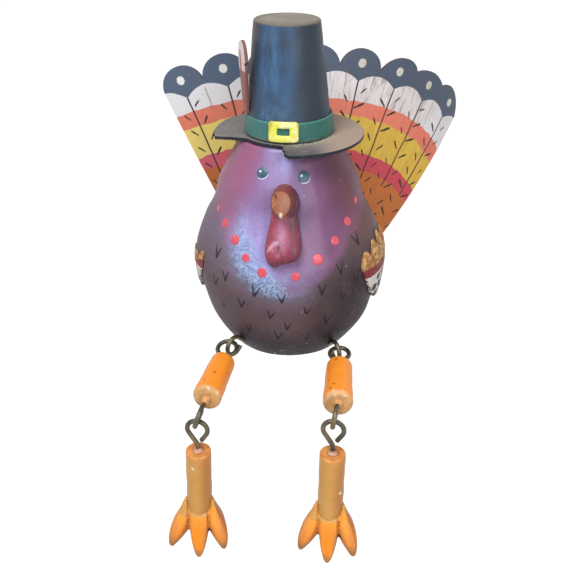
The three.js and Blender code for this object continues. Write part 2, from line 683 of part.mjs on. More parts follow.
// A thigh with a screw eye in each end. Its hip is at the group's origin, in the wire of its upper
// eye; the wood lies level, points to -Y and splays a little, and the eye rises to the hip.
// The eye at the knee stands out of the end grain a little askew, and the shin hangs square to it.
function addLeg(group, side) {
  const leg = new THREE.Group();
  leg.position.copy(outward(hipAngle[side], hipEyeReach(side), hipHeight[side]));
  leg.rotation.z = legSplay[side];
  const reach = thighEyeNeck[side] + eyeNeckReach;
  const facing = thighEyeFacing[side] - legSplay[side];
  const hip = new THREE.Vector3(0, reach, 0).sub(outward(facing, eyeLoopRadius));
  const lift = Math.asin((hipHeight[side] - thighKneeRadius[side]) / hip.y);
  const hipFrame = new THREE.Matrix4().makeRotationX(lift);
  const end = hip.clone().applyMatrix4(hipFrame).negate();
  hipFrame.setPosition(end);
  const topEye = (growth) => {
    const geometry = screwEye(eyeNeckReach, thighEyeNeck[side] + legEyeShank, growth);
    return solidOf(geometry.rotateX(-Math.PI / 2).translate(0, reach, 0).applyMatrix4(hipFrame));
  };
  const kneeReach = kneeEyeNeck[side] + eyeNeckReach;
  const askew = kneeEyeTurn[side] - legSplay[side];
  const kneeFrame = new THREE.Matrix4()
    .makeRotationFromEuler(new THREE.Euler(kneeEyeDip[side], kneeEyeRoll[side], askew, "ZYX"))
    .setPosition(end.x, end.y - thighLength, end.z);
  const bottomEye = (growth) => {
    const geometry = screwEye(eyeNeckReach, kneeEyeNeck[side] + legEyeShank, growth);
    geometry.rotateX(Math.PI / 2).rotateY(Math.PI / 2).translate(0, -kneeReach, 0);
    return solidOf(geometry.applyMatrix4(kneeFrame));
  };
  const dowel = dowelSolid(thighLength, thighEndRound, thighHipRadius[side], thighKneeRadius[side]);
  const wood = dowel.rotate([-90, 0, 0]).translate([end.x, end.y, end.z]);
  addPiece(leg, `thigh_top_eye_${side}`, topEye(0), "wire");
  addPiece(leg, `thigh_${side}`, wood.subtract(topEye(glueGap)).subtract(bottomEye(glueGap)), "orange");
  addPiece(leg, `thigh_bottom_eye_${side}`, bottomEye(0), "wire");
  const knee = new THREE.Group();
  const hang = kneeHang - kneeEyeDip[side];
  knee.position.set(0, -kneeReach - linkDrop * Math.cos(hang), -linkDrop * Math.sin(hang));
  knee.position.applyMatrix4(kneeFrame);
  knee.rotation.set(0, shinLean[side], askew, "ZYX");
  addLowerLeg(knee, side);
  leg.add(knee);
  group.add(leg);
}

// The body, bored for its two screw eyes and cut with a shallow seat for the tail
function addBody(group) {
  let body = bodySolid(0).subtract(tailSolid(glueGap));
  for (const side of ["left", "right"]) {
    const eye = (growth) => {
      const upright = screwEye(eyeNeckReach, bodyEyeShank, growth).rotateX(Math.PI / 2).rotateY(Math.PI / 2);
      const { x, y, z } = outward(hipAngle[side], hipEyeReach(side), hipEyeHeight(side));
      return solidOf(upright.rotateZ(hipEyeFacing[side]).translate(x, y, z));
    };
    addPiece(group, `body_eye_${side}`, eye(0), "wire");
    body = body.subtract(eye(glueGap));
  }
  addPiece(group, "body", body, "body");
}

const turkey = new THREE.Group();
const bodyCutter = bodySolid(faceGap);
addBody(turkey);
addFace(turkey, bodyCutter);
addPiece(turkey, "wing_left", wingSolid(-1), "wing");
addPiece(turkey, "wing_right", wingSolid(1), "wing");
addPiece(turkey, "tail_fan", tailSolid(0), "tail");
addHat(turkey);
addLeg(turkey, "left");
addLeg(turkey, "right");

export default turkey;
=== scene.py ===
# %% [markdown]
# # A turkey that sits on a shelf
# The real thing is folk art: a turned, gourd-shaped body, a thin sawn fan for a tail, a small hat,
# and legs of dowel that hang from screw eyes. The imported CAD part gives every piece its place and
# its joints. This lesson keeps those places and makes each piece again with a smooth, painted
# surface. All lengths below are millimetres, turned into metres only where a mesh is made.

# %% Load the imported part
import bisect
import math
import random

import bmesh
import bpy
from mathutils import Matrix, Vector, noise


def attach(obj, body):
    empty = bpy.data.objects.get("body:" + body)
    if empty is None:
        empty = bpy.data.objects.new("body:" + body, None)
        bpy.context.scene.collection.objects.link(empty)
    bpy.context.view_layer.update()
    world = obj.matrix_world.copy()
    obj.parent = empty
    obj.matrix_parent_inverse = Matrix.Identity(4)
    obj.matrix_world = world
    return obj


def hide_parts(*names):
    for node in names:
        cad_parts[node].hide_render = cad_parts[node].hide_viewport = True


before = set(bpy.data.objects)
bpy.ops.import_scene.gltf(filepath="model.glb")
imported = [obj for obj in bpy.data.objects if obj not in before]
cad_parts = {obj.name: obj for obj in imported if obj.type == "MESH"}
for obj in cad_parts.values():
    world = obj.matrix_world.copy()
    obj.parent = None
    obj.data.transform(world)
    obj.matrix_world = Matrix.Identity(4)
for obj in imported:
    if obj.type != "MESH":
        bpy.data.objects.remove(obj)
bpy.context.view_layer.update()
MM = 0.001
RAD = math.radians

# %% [markdown]
# ## Small helpers for meshes
# Most pieces are a profile turned about an axis, or a row of sections joined into a skin. Both are
# rings of points joined by bands of faces, so the bands are written once here. A piece's points
# are placed where they belong in the frame before the mesh is made, so its object can stay at the
# origin.

# %% A mesh from points in millimetres
def linked(name, data):
    obj = bpy.data.objects.new(name, data)
    bpy.context.scene.collection.objects.link(obj)
    return obj


def finish_mesh(obj, material, crease):
    """Faces outward, many-sided ones cut up, and smooth but for edges sharper than the crease."""
    mesh = obj.data
    work = bmesh.new()
    work.from_mesh(mesh)
    bmesh.ops.recalc_face_normals(work, faces=work.faces)
    bmesh.ops.triangulate(work, faces=[f for f in work.faces if len(f.verts) > 4])
    work.to_mesh(mesh)
    work.free()
    mesh.shade_smooth()
    mesh.set_sharp_from_angle(angle=RAD(crease))
    if material:
        mesh.materials.clear()
        mesh.materials.append(material)
    return obj


def mesh_piece(name, points, faces, material=None, crease=35):
    mesh = bpy.data.meshes.new(name)
    mesh.from_pydata([Vector(p) * MM for p in points], [], faces)
    mesh.validate()
    mesh.update()
    return finish_mesh(linked(name, mesh), material, crease)


def remember(piece, kind="POINT", **values):
    """Keeps numbers on a piece's points or faces, for its paint to read."""
    for name, numbers in values.items():
        piece.data.attributes.new(name, "FLOAT", kind).data.foreach_set("value", numbers)


# %% A smooth curve through a few points
def through(points, count):
    """Evenly many points on the curve that passes through all the given ones."""
    points = [Vector(p) for p in points]
    spans = len(points) - 1
    curve = []
    for i in range(count + 1):
        place = spans * i / count
        k = min(int(place), spans - 1)
        t = place - k
        a, b, c, d = (points[min(max(k + j, 0), spans)] for j in (-1, 0, 1, 2))
        curve.append(0.5 * (2 * b + (c - a) * t + (2 * a - 5 * b + 4 * c - d) * t * t
                            + (3 * b - a - 3 * c + d) * t ** 3))
    return curve


# %% Faces between rings of points
def bands(rows, count, closed=False):
    """Joins each ring of points to the next, and the last to the first if closed."""
    pairs = [(row * count, (row + 1) % rows * count) for row in range(rows if closed else rows - 1)]
    return [(a + k, a + (k + 1) % count, b + (k + 1) % count, b + k)
            for a, b in pairs for k in range(count)]


def capped(rows, count):
    """Bands with a fan of triangles at either end, whose middle points come last."""
    low, high, top = rows * count, rows * count + 1, (rows - 1) * count
    faces = bands(rows, count)
    for k in range(count):
        after = (k + 1) % count
        faces += [(low, after, k), (high, top + k, top + after)]
    return faces


# %% A turned solid, a turned ring, a slab and a lofted skin
def outward(angle, reach, height=0):
    """A point by its angle from the front, its distance from the upright axis and its height."""
    return Vector((reach * math.sin(angle), -reach * math.cos(angle), height))


def ring_points(profile, sides, place, shape):
    points = [outward(2 * math.pi * k / sides, radius, height)
              for radius, height in profile for k in range(sides)]
    return [place @ (shape(p) if shape else p) for p in points]


def turned(name, profile, sides, place=Matrix(), shape=None, crease=35):
    """A profile of (radius, height) pairs that starts and ends on the axis, turned about Z."""
    points = ring_points(profile[1:-1], sides, place, shape)
    points += [place @ Vector((0, 0, end[1])) for end in (profile[0], profile[-1])]
    return mesh_piece(name, points, capped(len(profile) - 2, sides), crease=crease)


def ring_of(name, profile, sides, place, shape, material=None, crease=50):
    """A closed profile of (radius, height) pairs turned about Z into a ring."""
    points = ring_points(profile, sides, place, shape)
    return mesh_piece(name, points, bands(len(profile), sides, closed=True), material, crease)


def slab(name, levels, crease):
    """A solid over outlines that lie one above another, closed by a flat face at either end."""
    rows, count = len(levels), len(levels[0])
    ends = [tuple(range(count))[::-1], tuple(range((rows - 1) * count, rows * count))]
    points = [p for level in levels for p in level]
    return mesh_piece(name, points, bands(rows, count) + ends, crease=crease)


def loft(sections, sides, power=2):
    """Points and faces of a skin over sections, each a centre and two half axes."""
    turns = [2 * math.pi * k / sides for k in range(sides)]
    shares = [[math.copysign(abs(v) ** (2 / power), v) for v in (math.cos(turn), math.sin(turn))]
              for turn in turns]
    points = [centre + across * c + along * s for centre, across, along in sections
              for c, s in shares]
    return points + [sections[0][0], sections[-1][0]], capped(len(sections), sides)


def smooth_sections(sections, count):
    """More sections on the curves through a few of them."""
    return list(zip(*(through([s[i] for s in sections], count) for i in range(3))))


# %% Plain meshes from modifiers and node trees
def settled(obj):
    """The piece as its modifiers leave it, on a new plain object at the origin."""
    shown = obj.evaluated_get(bpy.context.evaluated_depsgraph_get())
    mesh = bpy.data.meshes.new_from_object(shown)
    name, old = obj.name, obj.data
    bpy.data.objects.remove(obj)
    bpy.data.meshes.remove(old)
    mesh.name = name
    return linked(name, mesh)


def joined(skins):
    """The points and faces of several skins as one list each."""
    points, faces = [], []
    for some, joins in skins:
        faces += [tuple(len(points) + i for i in face) for face in joins]
        points += some
    return points, faces


VOXEL = 0.32


def fused(name, skins, smoothing, material, place=Matrix()):
    """Overlapping skins grown into one, as if carved from one block or modelled in putty."""
    points, faces = joined(skins)
    obj = mesh_piece(name, [place @ p for p in points], faces)
    remesh = obj.modifiers.new("grow together", "REMESH")
    remesh.mode, remesh.voxel_size = "VOXEL", VOXEL * MM
    soften = obj.modifiers.new("soften", "SMOOTH")
    soften.factor, soften.iterations = 0.5, smoothing
    return finish_mesh(settled(obj), material, 50)


# %% Paint a finished piece and say where it belongs
def keep(piece, body, slot, *nodes, paint=None):
    if paint:
        piece.data.materials.append(paint)
    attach(piece, body)
    if nodes:
        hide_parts(*nodes)
    print(piece.name, "faces", len(piece.data.polygons), "on", body)


# %% [markdown]
# ## Formulas in node trees
# The painted marks and the fan's outline follow rules, and rules are easier to read as formulas
# than as chains of boxes. This small class turns each plus, minus or sine into one Math node. It
# works in shader trees and in geometry trees alike.

# %% Numbers that build nodes
def plug(tree, socket, value):
    if isinstance(value, Num):
        value = value.socket
    if isinstance(value, bpy.types.NodeSocket):
        tree.links.new(value, socket)
    else:
        socket.default_value = value


def node(tree, kind, inputs=None, **settings):
    made = tree.nodes.new(kind)
    for name, value in settings.items():
        setattr(made, name, value)
    for name, value in (inputs or {}).items():
        plug(tree, made.inputs[name], value)
    return made


class Num:
    """One number in a node tree."""

    def __init__(self, tree, socket):
        self.tree, self.socket = tree, socket

    def math(self, operation, *others):
        made = node(self.tree, "ShaderNodeMath", operation=operation)
        for socket, value in zip(made.inputs, (self, *others)):
            plug(self.tree, socket, value)
        return Num(self.tree, made.outputs[0])

    def __neg__(self): return self * -1
    def __rsub__(self, other): return -self + other
    def __rtruediv__(self, other): return self ** -1 * other
    def between(self, low, high): return self.most(low).least(high)

    def rise(self, low, high):
        """0 below low, 1 above high and a soft step between."""
        inputs = {"Value": self, "From Min": low, "From Max": high}
        made = node(self.tree, "ShaderNodeMapRange", inputs, interpolation_type="SMOOTHSTEP")
        return Num(self.tree, made.outputs["Result"])

    def fall(self, low, high):
        return 1 - self.rise(low, high)

    def window(self, low, full, fading, high):
        """1 from full to fading, and 0 below low and above high."""
        return self.rise(low, full) * self.fall(fading, high)

    def near(self, place, full, none):
        """1 as far as full to either side of a place, and 0 from none on."""
        return (self - place).abs().fall(full, none)

    def lookup(self, stops, low, high):
        """The height of a line through (place, value) stops, read at this number."""
        start, span = stops[0][0], stops[-1][0] - stops[0][0]
        ramp = node(self.tree, "ShaderNodeValToRGB")
        elements = ramp.color_ramp.elements
        while len(elements) < len(stops):
            elements.new(0.5)
        for element, (place, value) in zip(elements, stops):
            level = (value - low) / (high - low)
            element.position, element.color = (place - start) / span, (level, level, level, 1)
        plug(self.tree, ramp.inputs[0], (self - start) / span)
        return Num(self.tree, ramp.outputs[0]) * (high - low) + low


OPERATIONS = {"__add__": "ADD", "__radd__": "ADD", "__sub__": "SUBTRACT", "__mul__": "MULTIPLY",
              "__rmul__": "MULTIPLY", "__truediv__": "DIVIDE", "__pow__": "POWER",
              "least": "MINIMUM", "most": "MAXIMUM", "abs": "ABSOLUTE", "sqrt": "SQRT",
              "sin": "SINE", "cos": "COSINE", "arccos": "ARCCOSINE", "floor": "FLOOR",
              "fract": "FRACT", "sign": "SIGN"}
for method, operation in OPERATIONS.items():
    setattr(Num, method, lambda self, *others, kind=operation: self.math(kind, *others))


def vector(tree, x, y, z=0):
    made = node(tree, "ShaderNodeCombineXYZ")
    for socket, value in zip(made.inputs, (x, y, z)):
        plug(tree, socket, value)
    return made.outputs[0]


def parts_of(tree, socket):
    made = node(tree, "ShaderNodeSeparateXYZ", {"Vector": socket})
    return [Num(tree, out) for out in made.outputs]


# %% [markdown]
# ## Shader effects that several finishes share
# Brushed paint, small chips, wood grain and short brush strokes turn up on many pieces. Each is
# one node group with named inputs, built once. The groups give masks and heights only, and the
# shader itself stays in each material.

# %% A node group with named sockets
def effect(name, build, outputs, **inputs):
    """A group whose inputs are numbers, or a place where the value is None."""
    tree = bpy.data.node_groups.new(name, "ShaderNodeTree")
    for label, value in inputs.items():
        kind = "NodeSocketVector" if value is None else "NodeSocketFloat"
        made = tree.interface.new_socket(label, in_out="INPUT", socket_type=kind)
        if value is not None:
            made.default_value = value
    for label in outputs:
        tree.interface.new_socket(label, in_out="OUTPUT", socket_type="NodeSocketFloat")
    start, end = tree.nodes.new("NodeGroupInput"), tree.nodes.new("NodeGroupOutput")
    given = {label: start.outputs[label] if value is None else Num(tree, start.outputs[label])
             for label, value in inputs.items()}
    for socket, value in zip(end.inputs, build(tree, **given)):
        plug(tree, socket, value)
    return tree


def use(tree, group, **inputs):
    made = node(tree, "ShaderNodeGroup", inputs, node_tree=group)
    outputs = [Num(tree, out) for out in made.outputs]
    return outputs[0] if len(outputs) == 1 else outputs


# %% Noise, colour and stretching in one line each
def cloud(tree, place, scale, detail=3, rough=0.55, distort=0):
    made = node(tree, "ShaderNodeTexNoise", {"Vector": place, "Scale": scale, "Detail": detail,
                                             "Roughness": rough, "Distortion": distort})
    return Num(tree, made.outputs["Fac"])


def chance_of(tree, x, y, z=0):
    """An even random number for each whole-numbered cell."""
    made = node(tree, "ShaderNodeTexWhiteNoise", {"Vector": vector(tree, x, y, z)},
                noise_dimensions="3D")
    return Num(tree, made.outputs["Value"])


def shade(hexed):
    """A colour written as six hex digits, as the shader wants it."""
    channels = [int(hexed[i:i + 2], 16) / 255 for i in (0, 2, 4)]
    return (*(c / 12.92 if c < 0.04045 else ((c + 0.055) / 1.055) ** 2.4 for c in channels), 1)


def stretched(tree, place, *scales):
    made = node(tree, "ShaderNodeVectorMath", operation="MULTIPLY")
    plug(tree, made.inputs[0], place)
    plug(tree, made.inputs[1], scales)
    return made.outputs[0]


# %% The shared effects
def build_brushing(tree, Place, Size, Strength):
    fine = cloud(tree, Place, 1 / Size, 5, 0.65)
    broad = cloud(tree, Place, 0.22 / Size, 2, 0.5)
    mask = ((fine - 0.5) * 1.1 + (broad - 0.5) * 1.4) * Strength + 0.5
    return mask.between(0, 1), fine


def build_chips(tree, Place, Size, Amount):
    patch = cloud(tree, Place, 0.35 / Size, 2)
    dots = node(tree, "ShaderNodeTexVoronoi", {"Vector": Place, "Scale": 1 / Size})
    ragged = cloud(tree, Place, 2.6 / Size, 3)
    spot = Num(tree, dots.outputs["Distance"]) + (ragged - 0.5) * 0.5
    return [spot.fall(Amount * 0.3, Amount * 0.5) * patch.rise(0.5, 0.6)]


def build_grain(tree, Place, Size):
    wavy = cloud(tree, Place, 1 / Size, 6, 0.6, 0.6)
    fibre = cloud(tree, stretched(tree, Place, 3, 3, 0.6), 2.2 / Size, 3, 0.6)
    return [(wavy * 0.65 + fibre * 0.35).rise(0.36, 0.64)]


def build_stroke(tree, Place, Length, Width):
    x, y, _ = parts_of(tree, Place)
    wobble = (cloud(tree, Place, 0.9, 2) - 0.5) * Width * 0.9
    past = (x.abs() - Length * 0.5).most(0)
    away = (past * past + (y + wobble) * (y + wobble)).sqrt()
    return [away.fall(Width * 0.35, Width * 0.62)]


def build_dab(tree, Place, Radius, Softness):
    x, y, _ = parts_of(tree, Place)
    wobble = (cloud(tree, Place, 0.8, 2) - 0.5) * Radius * 0.35
    return [((x * x + y * y).sqrt() + wobble).fall(Radius - Softness, Radius + Softness)]


def build_vee(tree, Place, Reach, Rise, Width):
    x, y, _ = parts_of(tree, Place)
    wobble = (cloud(tree, Place, 0.5, 2) - 0.5) * 0.9
    side = (x + wobble * 0.5).abs()
    span = Reach * Reach + Rise * Rise
    share = ((side * Reach + y * Rise) / span).between(0, 1)
    dx, dy = side - share * Reach, y - share * Rise
    away = (dx * dx + dy * dy).sqrt() + (share - 0.5) * Width * 0.35
    return [away.fall(Width * 0.3, Width * 0.62)]


BRUSHING = effect("brushed paint", build_brushing, ("Mask", "Height"), Place=None, Size=1,
                  Strength=1)
CHIPS = effect("small chips", build_chips, ("Mask",), Place=None, Size=2, Amount=0.5)
GRAIN = effect("wood grain", build_grain, ("Mask",), Place=None, Size=2)
STROKE = effect("short stroke", build_stroke, ("Mask",), Place=None, Length=4, Width=0.7)
DAB = effect("round dab", build_dab, ("Mask",), Place=None, Radius=2, Softness=0.25)
VEE = effect("V stroke", build_vee, ("Mask",), Place=None, Reach=2, Rise=4.5, Width=0.8)
print("effects", len(bpy.data.node_groups))


# %% A finish: a Principled shader whose colour, roughness and height come from formulas
class Finish:
    def __init__(self, name, coat=0, coat_roughness=0.03, specular=0.3, metal=0):
        self.material = bpy.data.materials.new(name)
        self.material.use_nodes = True
        self.tree = self.material.node_tree
        self.shader = self.tree.nodes["Principled BSDF"]
        self.put(Coat_Weight=coat, Coat_Roughness=coat_roughness, Specular_IOR_Level=specular,
                 Metallic=metal)
        place = node(self.tree, "ShaderNodeTexCoord").outputs["Object"]
        self.place = stretched(self.tree, place, 1 / MM, 1 / MM, 1 / MM)
        self.x, self.y, self.z = parts_of(self.tree, self.place)

    def put(self, **values):
        for label, value in values.items():
            plug(self.tree, self.shader.inputs[label.replace("_", " ")], value)

    def at(self, place):
        """The skin's own place, unless x, y and perhaps z are given."""
        return vector(self.tree, *place) if place else self.place

    def use(self, group, place=None, **inputs):
        return use(self.tree, group, Place=self.at(place), **inputs)

    def brushed(self, size, strength=1, place=None):
        return self.use(BRUSHING, place, Size=size, Strength=strength)

    def chips(self, size, amount, place=None):
        return self.use(CHIPS, place, Size=size, Amount=amount)

    def cloud(self, *values, place=None):
        return cloud(self.tree, self.at(place), *values)

    def azimuth(self):
        """Degrees from the front towards +X."""
        return self.x.math("ARCTAN2", -self.y) * math.degrees(1)

    def reach(self):
        return (self.x * self.x + self.y * self.y).sqrt()

    def attributes(self, *names):
        made = [node(self.tree, "ShaderNodeAttribute", attribute_name=name) for name in names]
        return [Num(self.tree, one.outputs["Fac"]) for one in made]

    def start(self, colour):
        self.colour = shade(colour)

    def lay(self, amount, colour):
        """One more coat of paint where the mask says so."""
        made = node(self.tree, "ShaderNodeMix", data_type="RGBA")
        for place, value in ((0, amount), (6, self.colour), (7, shade(colour))):
            plug(self.tree, made.inputs[place], value)
        self.colour = made.outputs[2]

    def done(self, roughness, height, depth):
        """Roughness and a height map, whose full range is the given depth in millimetres."""
        inputs = {"Strength": 1, "Distance": depth * MM, "Height": height}
        bump = node(self.tree, "ShaderNodeBump", inputs)
        self.put(Base_Color=self.colour, Roughness=roughness, Normal=bump.outputs[0])
        return self.material


def brushed_finish(name, first, share, second, size, strength, **plain):
    """A finish with a second colour brushed into the first, its brush mask and its fine height."""
    f = Finish(name, **plain)
    mottle, weave = f.brushed(size, strength)
    f.start(first)
    f.lay(mottle * share, second)
    return f, mottle, weave


# %% [markdown]
# ## The body's shape
# The body is turned wood with a flat seat and a flat top, and a little uneven, as a gourd is. A
# profile turned about the axis is the natural way to make it. The unevenness is a slow noise, far
# smaller than the form itself, plus one fuller place low on the right.

# %% Profile of the body, from the seat's edge to the top's edge
BODY_HEIGHT, BODY_RADIUS = 107, 47.2
BODY_SHARES = [(0, .633), (.075, .758), (.168, .867), (.28, .939), (.393, .996), (.45, 1),
               (.514, .983), (.617, .894), (.71, .786), (.822, .708), (.935, .572), (1, .494)]
BODY_STEPS, BODY_SIDES = 132, 200
body_stations = [(reach * BODY_RADIUS, rise * BODY_HEIGHT, 0) for rise, reach in BODY_SHARES]
profile = [(p.x, p.y) for p in through(body_stations, BODY_STEPS)]
profile_heights = [height for _, height in profile]


def body_radius(height):
    above = min(max(bisect.bisect_left(profile_heights, height), 1), len(profile) - 1)
    (r0, h0), (r1, h1) = profile[above - 1], profile[above]
    return r0 + (r1 - r0) * min(max((height - h0) / (h1 - h0), 0), 1)


BUMPS = [(0.22, 17), (0.1, 6)]
FULLER, FULLER_AZIMUTH, FULLER_HEIGHT = 0.8, 66, 18
FULLER_WIDE, FULLER_TALL = 26, 11


def uneven(point):
    """How far the hand-worked surface stands off the true turned one."""
    bumps = sum(depth * noise.noise(point / size) for depth, size in BUMPS)
    aside = (math.degrees(math.atan2(point.x, -point.y)) - FULLER_AZIMUTH) / FULLER_WIDE
    above = (point.z - FULLER_HEIGHT) / FULLER_TALL
    return bumps + FULLER * math.exp(-aside ** 2 - above ** 2)


def on_body(azimuth, height, offset=0):
    """A point on the body's skin, by degrees from the front towards +X."""
    point = outward(RAD(azimuth), body_radius(height), height)
    return point + outward(RAD(azimuth), offset + uneven(point))


# %% The body itself
def body_shape(point):
    reach = math.hypot(point.x, point.y)
    edge = min(max(reach / body_radius(point.z), 0), 1) ** 6
    return point + Vector((point.x, point.y, 0)) / max(reach, 0.01) * uneven(point) * edge


SEAT_ROUND, TOP_ROUND = 0.8, 0.3
seat_disc = [(share * (profile[0][0] - SEAT_ROUND), 0) for share in (0, .3, .6, .85, 1)]
seat_edge = [(profile[0][0] - SEAT_ROUND * (1 - math.sin(a)), SEAT_ROUND * (1 - math.cos(a)))
             for a in (RAD(30), RAD(60))]
skin = [(reach, height) for reach, height in profile if SEAT_ROUND < height < BODY_HEIGHT - 0.4]
top_disc = [(share * (profile[-1][0] - TOP_ROUND), BODY_HEIGHT) for share in (1, .8, .5, 0)]
body = turned("painted_body", seat_disc + seat_edge + skin + top_disc, BODY_SIDES, shape=body_shape)
print("body profile points", len(profile), "widest", max(r for r, _ in profile))

# %% [markdown]
# ## The body's paint
# The painter laid a brown coat below and a mauve one on the face, and let them meet in a soft
# curved edge. Lavender was brushed over the mauve while it was wet, and the gloss has crackled at
# the bib's lowest part. Some of the lavender, the bluish colour of the crackle and the pale lines
# on its wrinkles are painted highlight and sheen. The brown, darker low down and on the right, is
# partly painted shade, and so are a patch right of the beak and a band under the brim's right side.
# Dark V strokes stand for feathers. None of this has any thickness to speak of, so it is all paint
# in the shader, placed by angle and height. The red dots and the eyes do stand up from the skin,
# and come after it.

# %% Where the painted marks sit: degrees from the front, and height
RED_DOTS = [(-60.1, 75.9, 1.6), (-45.4, 72, 2.1), (-31.6, 67.4, 2.35), (-21.4, 61.1, 2),
            (-10.2, 56, 2.3), (9.3, 54.9, 2), (22.9, 61.6, 2.6), (36.3, 68, 2.1),
            (51.3, 73.7, 2.1), (67.3, 80.3, 1.6)]
VEES = [(-43.4, 56.9), (-34.2, 47.6), (-43.2, 42.7), (-40.5, 29.6), (-24.8, 34.8), (-14.7, 43.8),
        (1.4, 41.3), (-6.3, 31.2), (15.6, 33.7), (24.5, 44.7), (38.9, 38.3), (36.7, 53.4),
        (54.5, 62.9), (-22.2, 19.4), (4.1, 24.5), (29.8, 25.7), (41.4, 17), (-2.3, 17), (18, 16.1),
        (48.2, 46.2), (54.8, 28.4)]
EYES = [(-19.5, 97.3, 2.65), (18.7, 96.3, 2.75)]
BIB_EDGE = [(-180, 79), (-90, 79), (-75, 78), (-60, 75), (-45, 69), (-30, 59.5), (-15, 48.5),
            (0, 43.5), (15, 47.5), (30, 57.5), (45, 67), (60, 73.5), (75, 78), (90, 79), (180, 79)]


# %% Body paint
def body_paint():
    f = Finish("body paint", coat_roughness=0.18, specular=0.12)
    azimuth = f.azimuth()
    reach = f.reach() * RAD(1)
    streak, _ = f.brushed(2.4, place=(azimuth * 0.8, f.z * 0.16, f.y * 0.02))
    mottle, weave = f.brushed(2.2)
    f.start("6c595f")
    f.lay(streak * 0.45, "54464c")
    # Darker brown on the right and towards the seat: partly darker paint, partly painted shade on
    # the side away from the light and on the downward-facing lower body.
    f.lay(azimuth.rise(0, 50) * f.z.fall(40, 75) * 0.9, "2a1e21")
    f.lay((f.z + f.cloud(0.055, 2) * 16).fall(14, 38) * 0.9, "1f1a1f")
    f.lay(mottle.rise(0.55, 0.9) * 0.3, "715e62")
    f.lay(azimuth.rise(35, 60) * f.z.rise(55, 75) * 0.6, "754c44")
    edge = azimuth.lookup(BIB_EDGE, 40, 80)
    above = (f.z - edge + (f.cloud(0.16, 3) - 0.5) * 9) / (azimuth.abs() * 0.03 + 1)
    bib = above.rise(-2, 3.6)
    f.lay(above.rise(-12, -1) * azimuth.fall(5, 30) * 0.5, "85778f")
    f.lay(bib, "8a6891")
    side = (azimuth + 4).abs() + (streak - 0.5) * 16
    f.lay(bib * side.rise(16, 38) * 0.85, "9c5a7a")
    f.lay(bib * azimuth.rise(8, 32) * 0.8, "68496c")
    f.lay(bib * azimuth.rise(34, 60) * 0.8, "6e4250")
    f.lay(bib * azimuth.fall(-74, -56) * 0.5, "7c4560")
    f.lay(bib * azimuth.near(62, 4, 14) * mottle * 0.6, "8c4a54")
    # Lavender brushed on the face's left and between the eyes, partly standing in as a painted
    # highlight of the gloss lit from the upper left.
    lavender = azimuth.near(-17, 6, 28) * f.z.window(44, 54, 70, 92)
    f.lay(bib * (lavender * (streak * 0.7 + mottle * 0.7)).between(0, 1) * 0.9, "aaa7e6")
    brow = azimuth.near(-3, 5, 24) * f.z.rise(82, 96) * (mottle * 0.7 + streak * 0.4)
    f.lay(bib * brow * 0.85, "a2a8e0")
    crackle_stops = [(-60, 0), (-36, .15), (-27, .8), (-18, 1), (-3, 1), (6, .2), (30, 0)]
    crackled = azimuth.lookup(crackle_stops, 0, 1) * above.window(-4, 1, 5, 13)
    # Painted shade on the face to the right of the beak.
    f.lay(azimuth.near(13, 4, 13) * f.z.near(86, 7, 16) * 0.5, "5c4e6e")
    # The bluish colour over the crackled gloss is a painted sheen, and the pale lines on the
    # wrinkles' ridges are painted highlights; the dark cracks after them are real cracks.
    f.lay(crackled * (mottle * 0.4 + 0.55) * 0.85, "88a9d2")
    folds = f.cloud(0.36, 2, 0.5, 0.8)
    f.lay(folds.near(0.46, 0.012, 0.06) * crackled * 0.4, "c0e0f4")
    cracks = folds.near(0.52, 0.006, 0.025) + folds.near(0.6, 0.006, 0.022)
    f.lay(cracks * crackled * 0.55, "4a4c72")
    f.lay(f.z.near(88, 5, 15) * azimuth.near(2, 5, 17) * mottle * 0.45, "8f4f72")
    # Painted shadow of the brim on the right side of the head.
    f.lay(f.z.near(92, 5, 17) * azimuth.window(30, 44, 60, 80) * 0.5, "5b3a3e")

    vees = None
    draw = random.Random(11)
    for at_azimuth, at_height in VEES:
        turn = RAD(draw.uniform(-14, 14))
        size = draw.uniform(0.85, 1.15)
        x, y = (azimuth - at_azimuth) * reach, f.z - at_height
        c, s = math.cos(turn), math.sin(turn)
        vee = f.use(VEE, (x * c + y * s, y * c - x * s), Reach=1.8 * size, Rise=4.7 * size,
                    Width=draw.uniform(0.8, 1.2))
        vees = vee if vees is None else vees.most(vee)
    f.lay(vees * (mottle * 0.3 + 0.7), "1f1d26")
    f.lay(f.chips(5, 0.2) * 0.7, "a89a94")
    f.lay(f.z.fall(3, 9) * f.chips(2.6, 0.8) * 0.85, "d2c8bc")
    f.lay(f.z.fall(0.4, 0.9), "8c6a4c")
    height = weave * 0.9 + f.cloud(0.8, 3, 0.6, 0.4) * 1.2 + folds * crackled * 6
    f.put(Coat_Weight=bib * 0.22)
    return f.done(0.44 - bib * 0.08 + mottle * 0.12 - crackled * 0.14, height, 0.22)


keep(body, "root", "body_paint", "body", paint=body_paint())

# %% [markdown]
# ## Dots and eyes of thick paint
# The red dots were set down with a loaded brush and dried as low domes, and so were the eyes. A
# dome catches the light, which flat colour can't do. One small geometry tree puts a flattened dome
# on each marked point of the skin and turns it to the skin's own normal. The points and their
# sizes come in with the mesh, and the dome's height is the tree's named input.

# %% A geometry tree with named inputs, and what it grows
def geometry_tree(name, sizes):
    tree = bpy.data.node_groups.new(name, "GeometryNodeTree")
    tree.interface.new_socket("Geometry", in_out="INPUT", socket_type="NodeSocketGeometry")
    for label, value in sizes.items():
        made = tree.interface.new_socket(label, in_out="INPUT", socket_type="NodeSocketFloat")
        made.default_value = value
    tree.interface.new_socket("Geometry", in_out="OUTPUT", socket_type="NodeSocketGeometry")
    given = tree.nodes.new("NodeGroupInput").outputs
    return tree, given["Geometry"], {label: Num(tree, given[label]) for label in sizes}


def close_tree(tree, geometry, material):
    real = node(tree, "GeometryNodeRealizeInstances", {"Geometry": geometry})
    dressed = node(tree, "GeometryNodeSetMaterial",
                   {"Geometry": real.outputs[0], "Material": material})
    plug(tree, tree.nodes.new("NodeGroupOutput").inputs["Geometry"], dressed.outputs[0])
    return tree


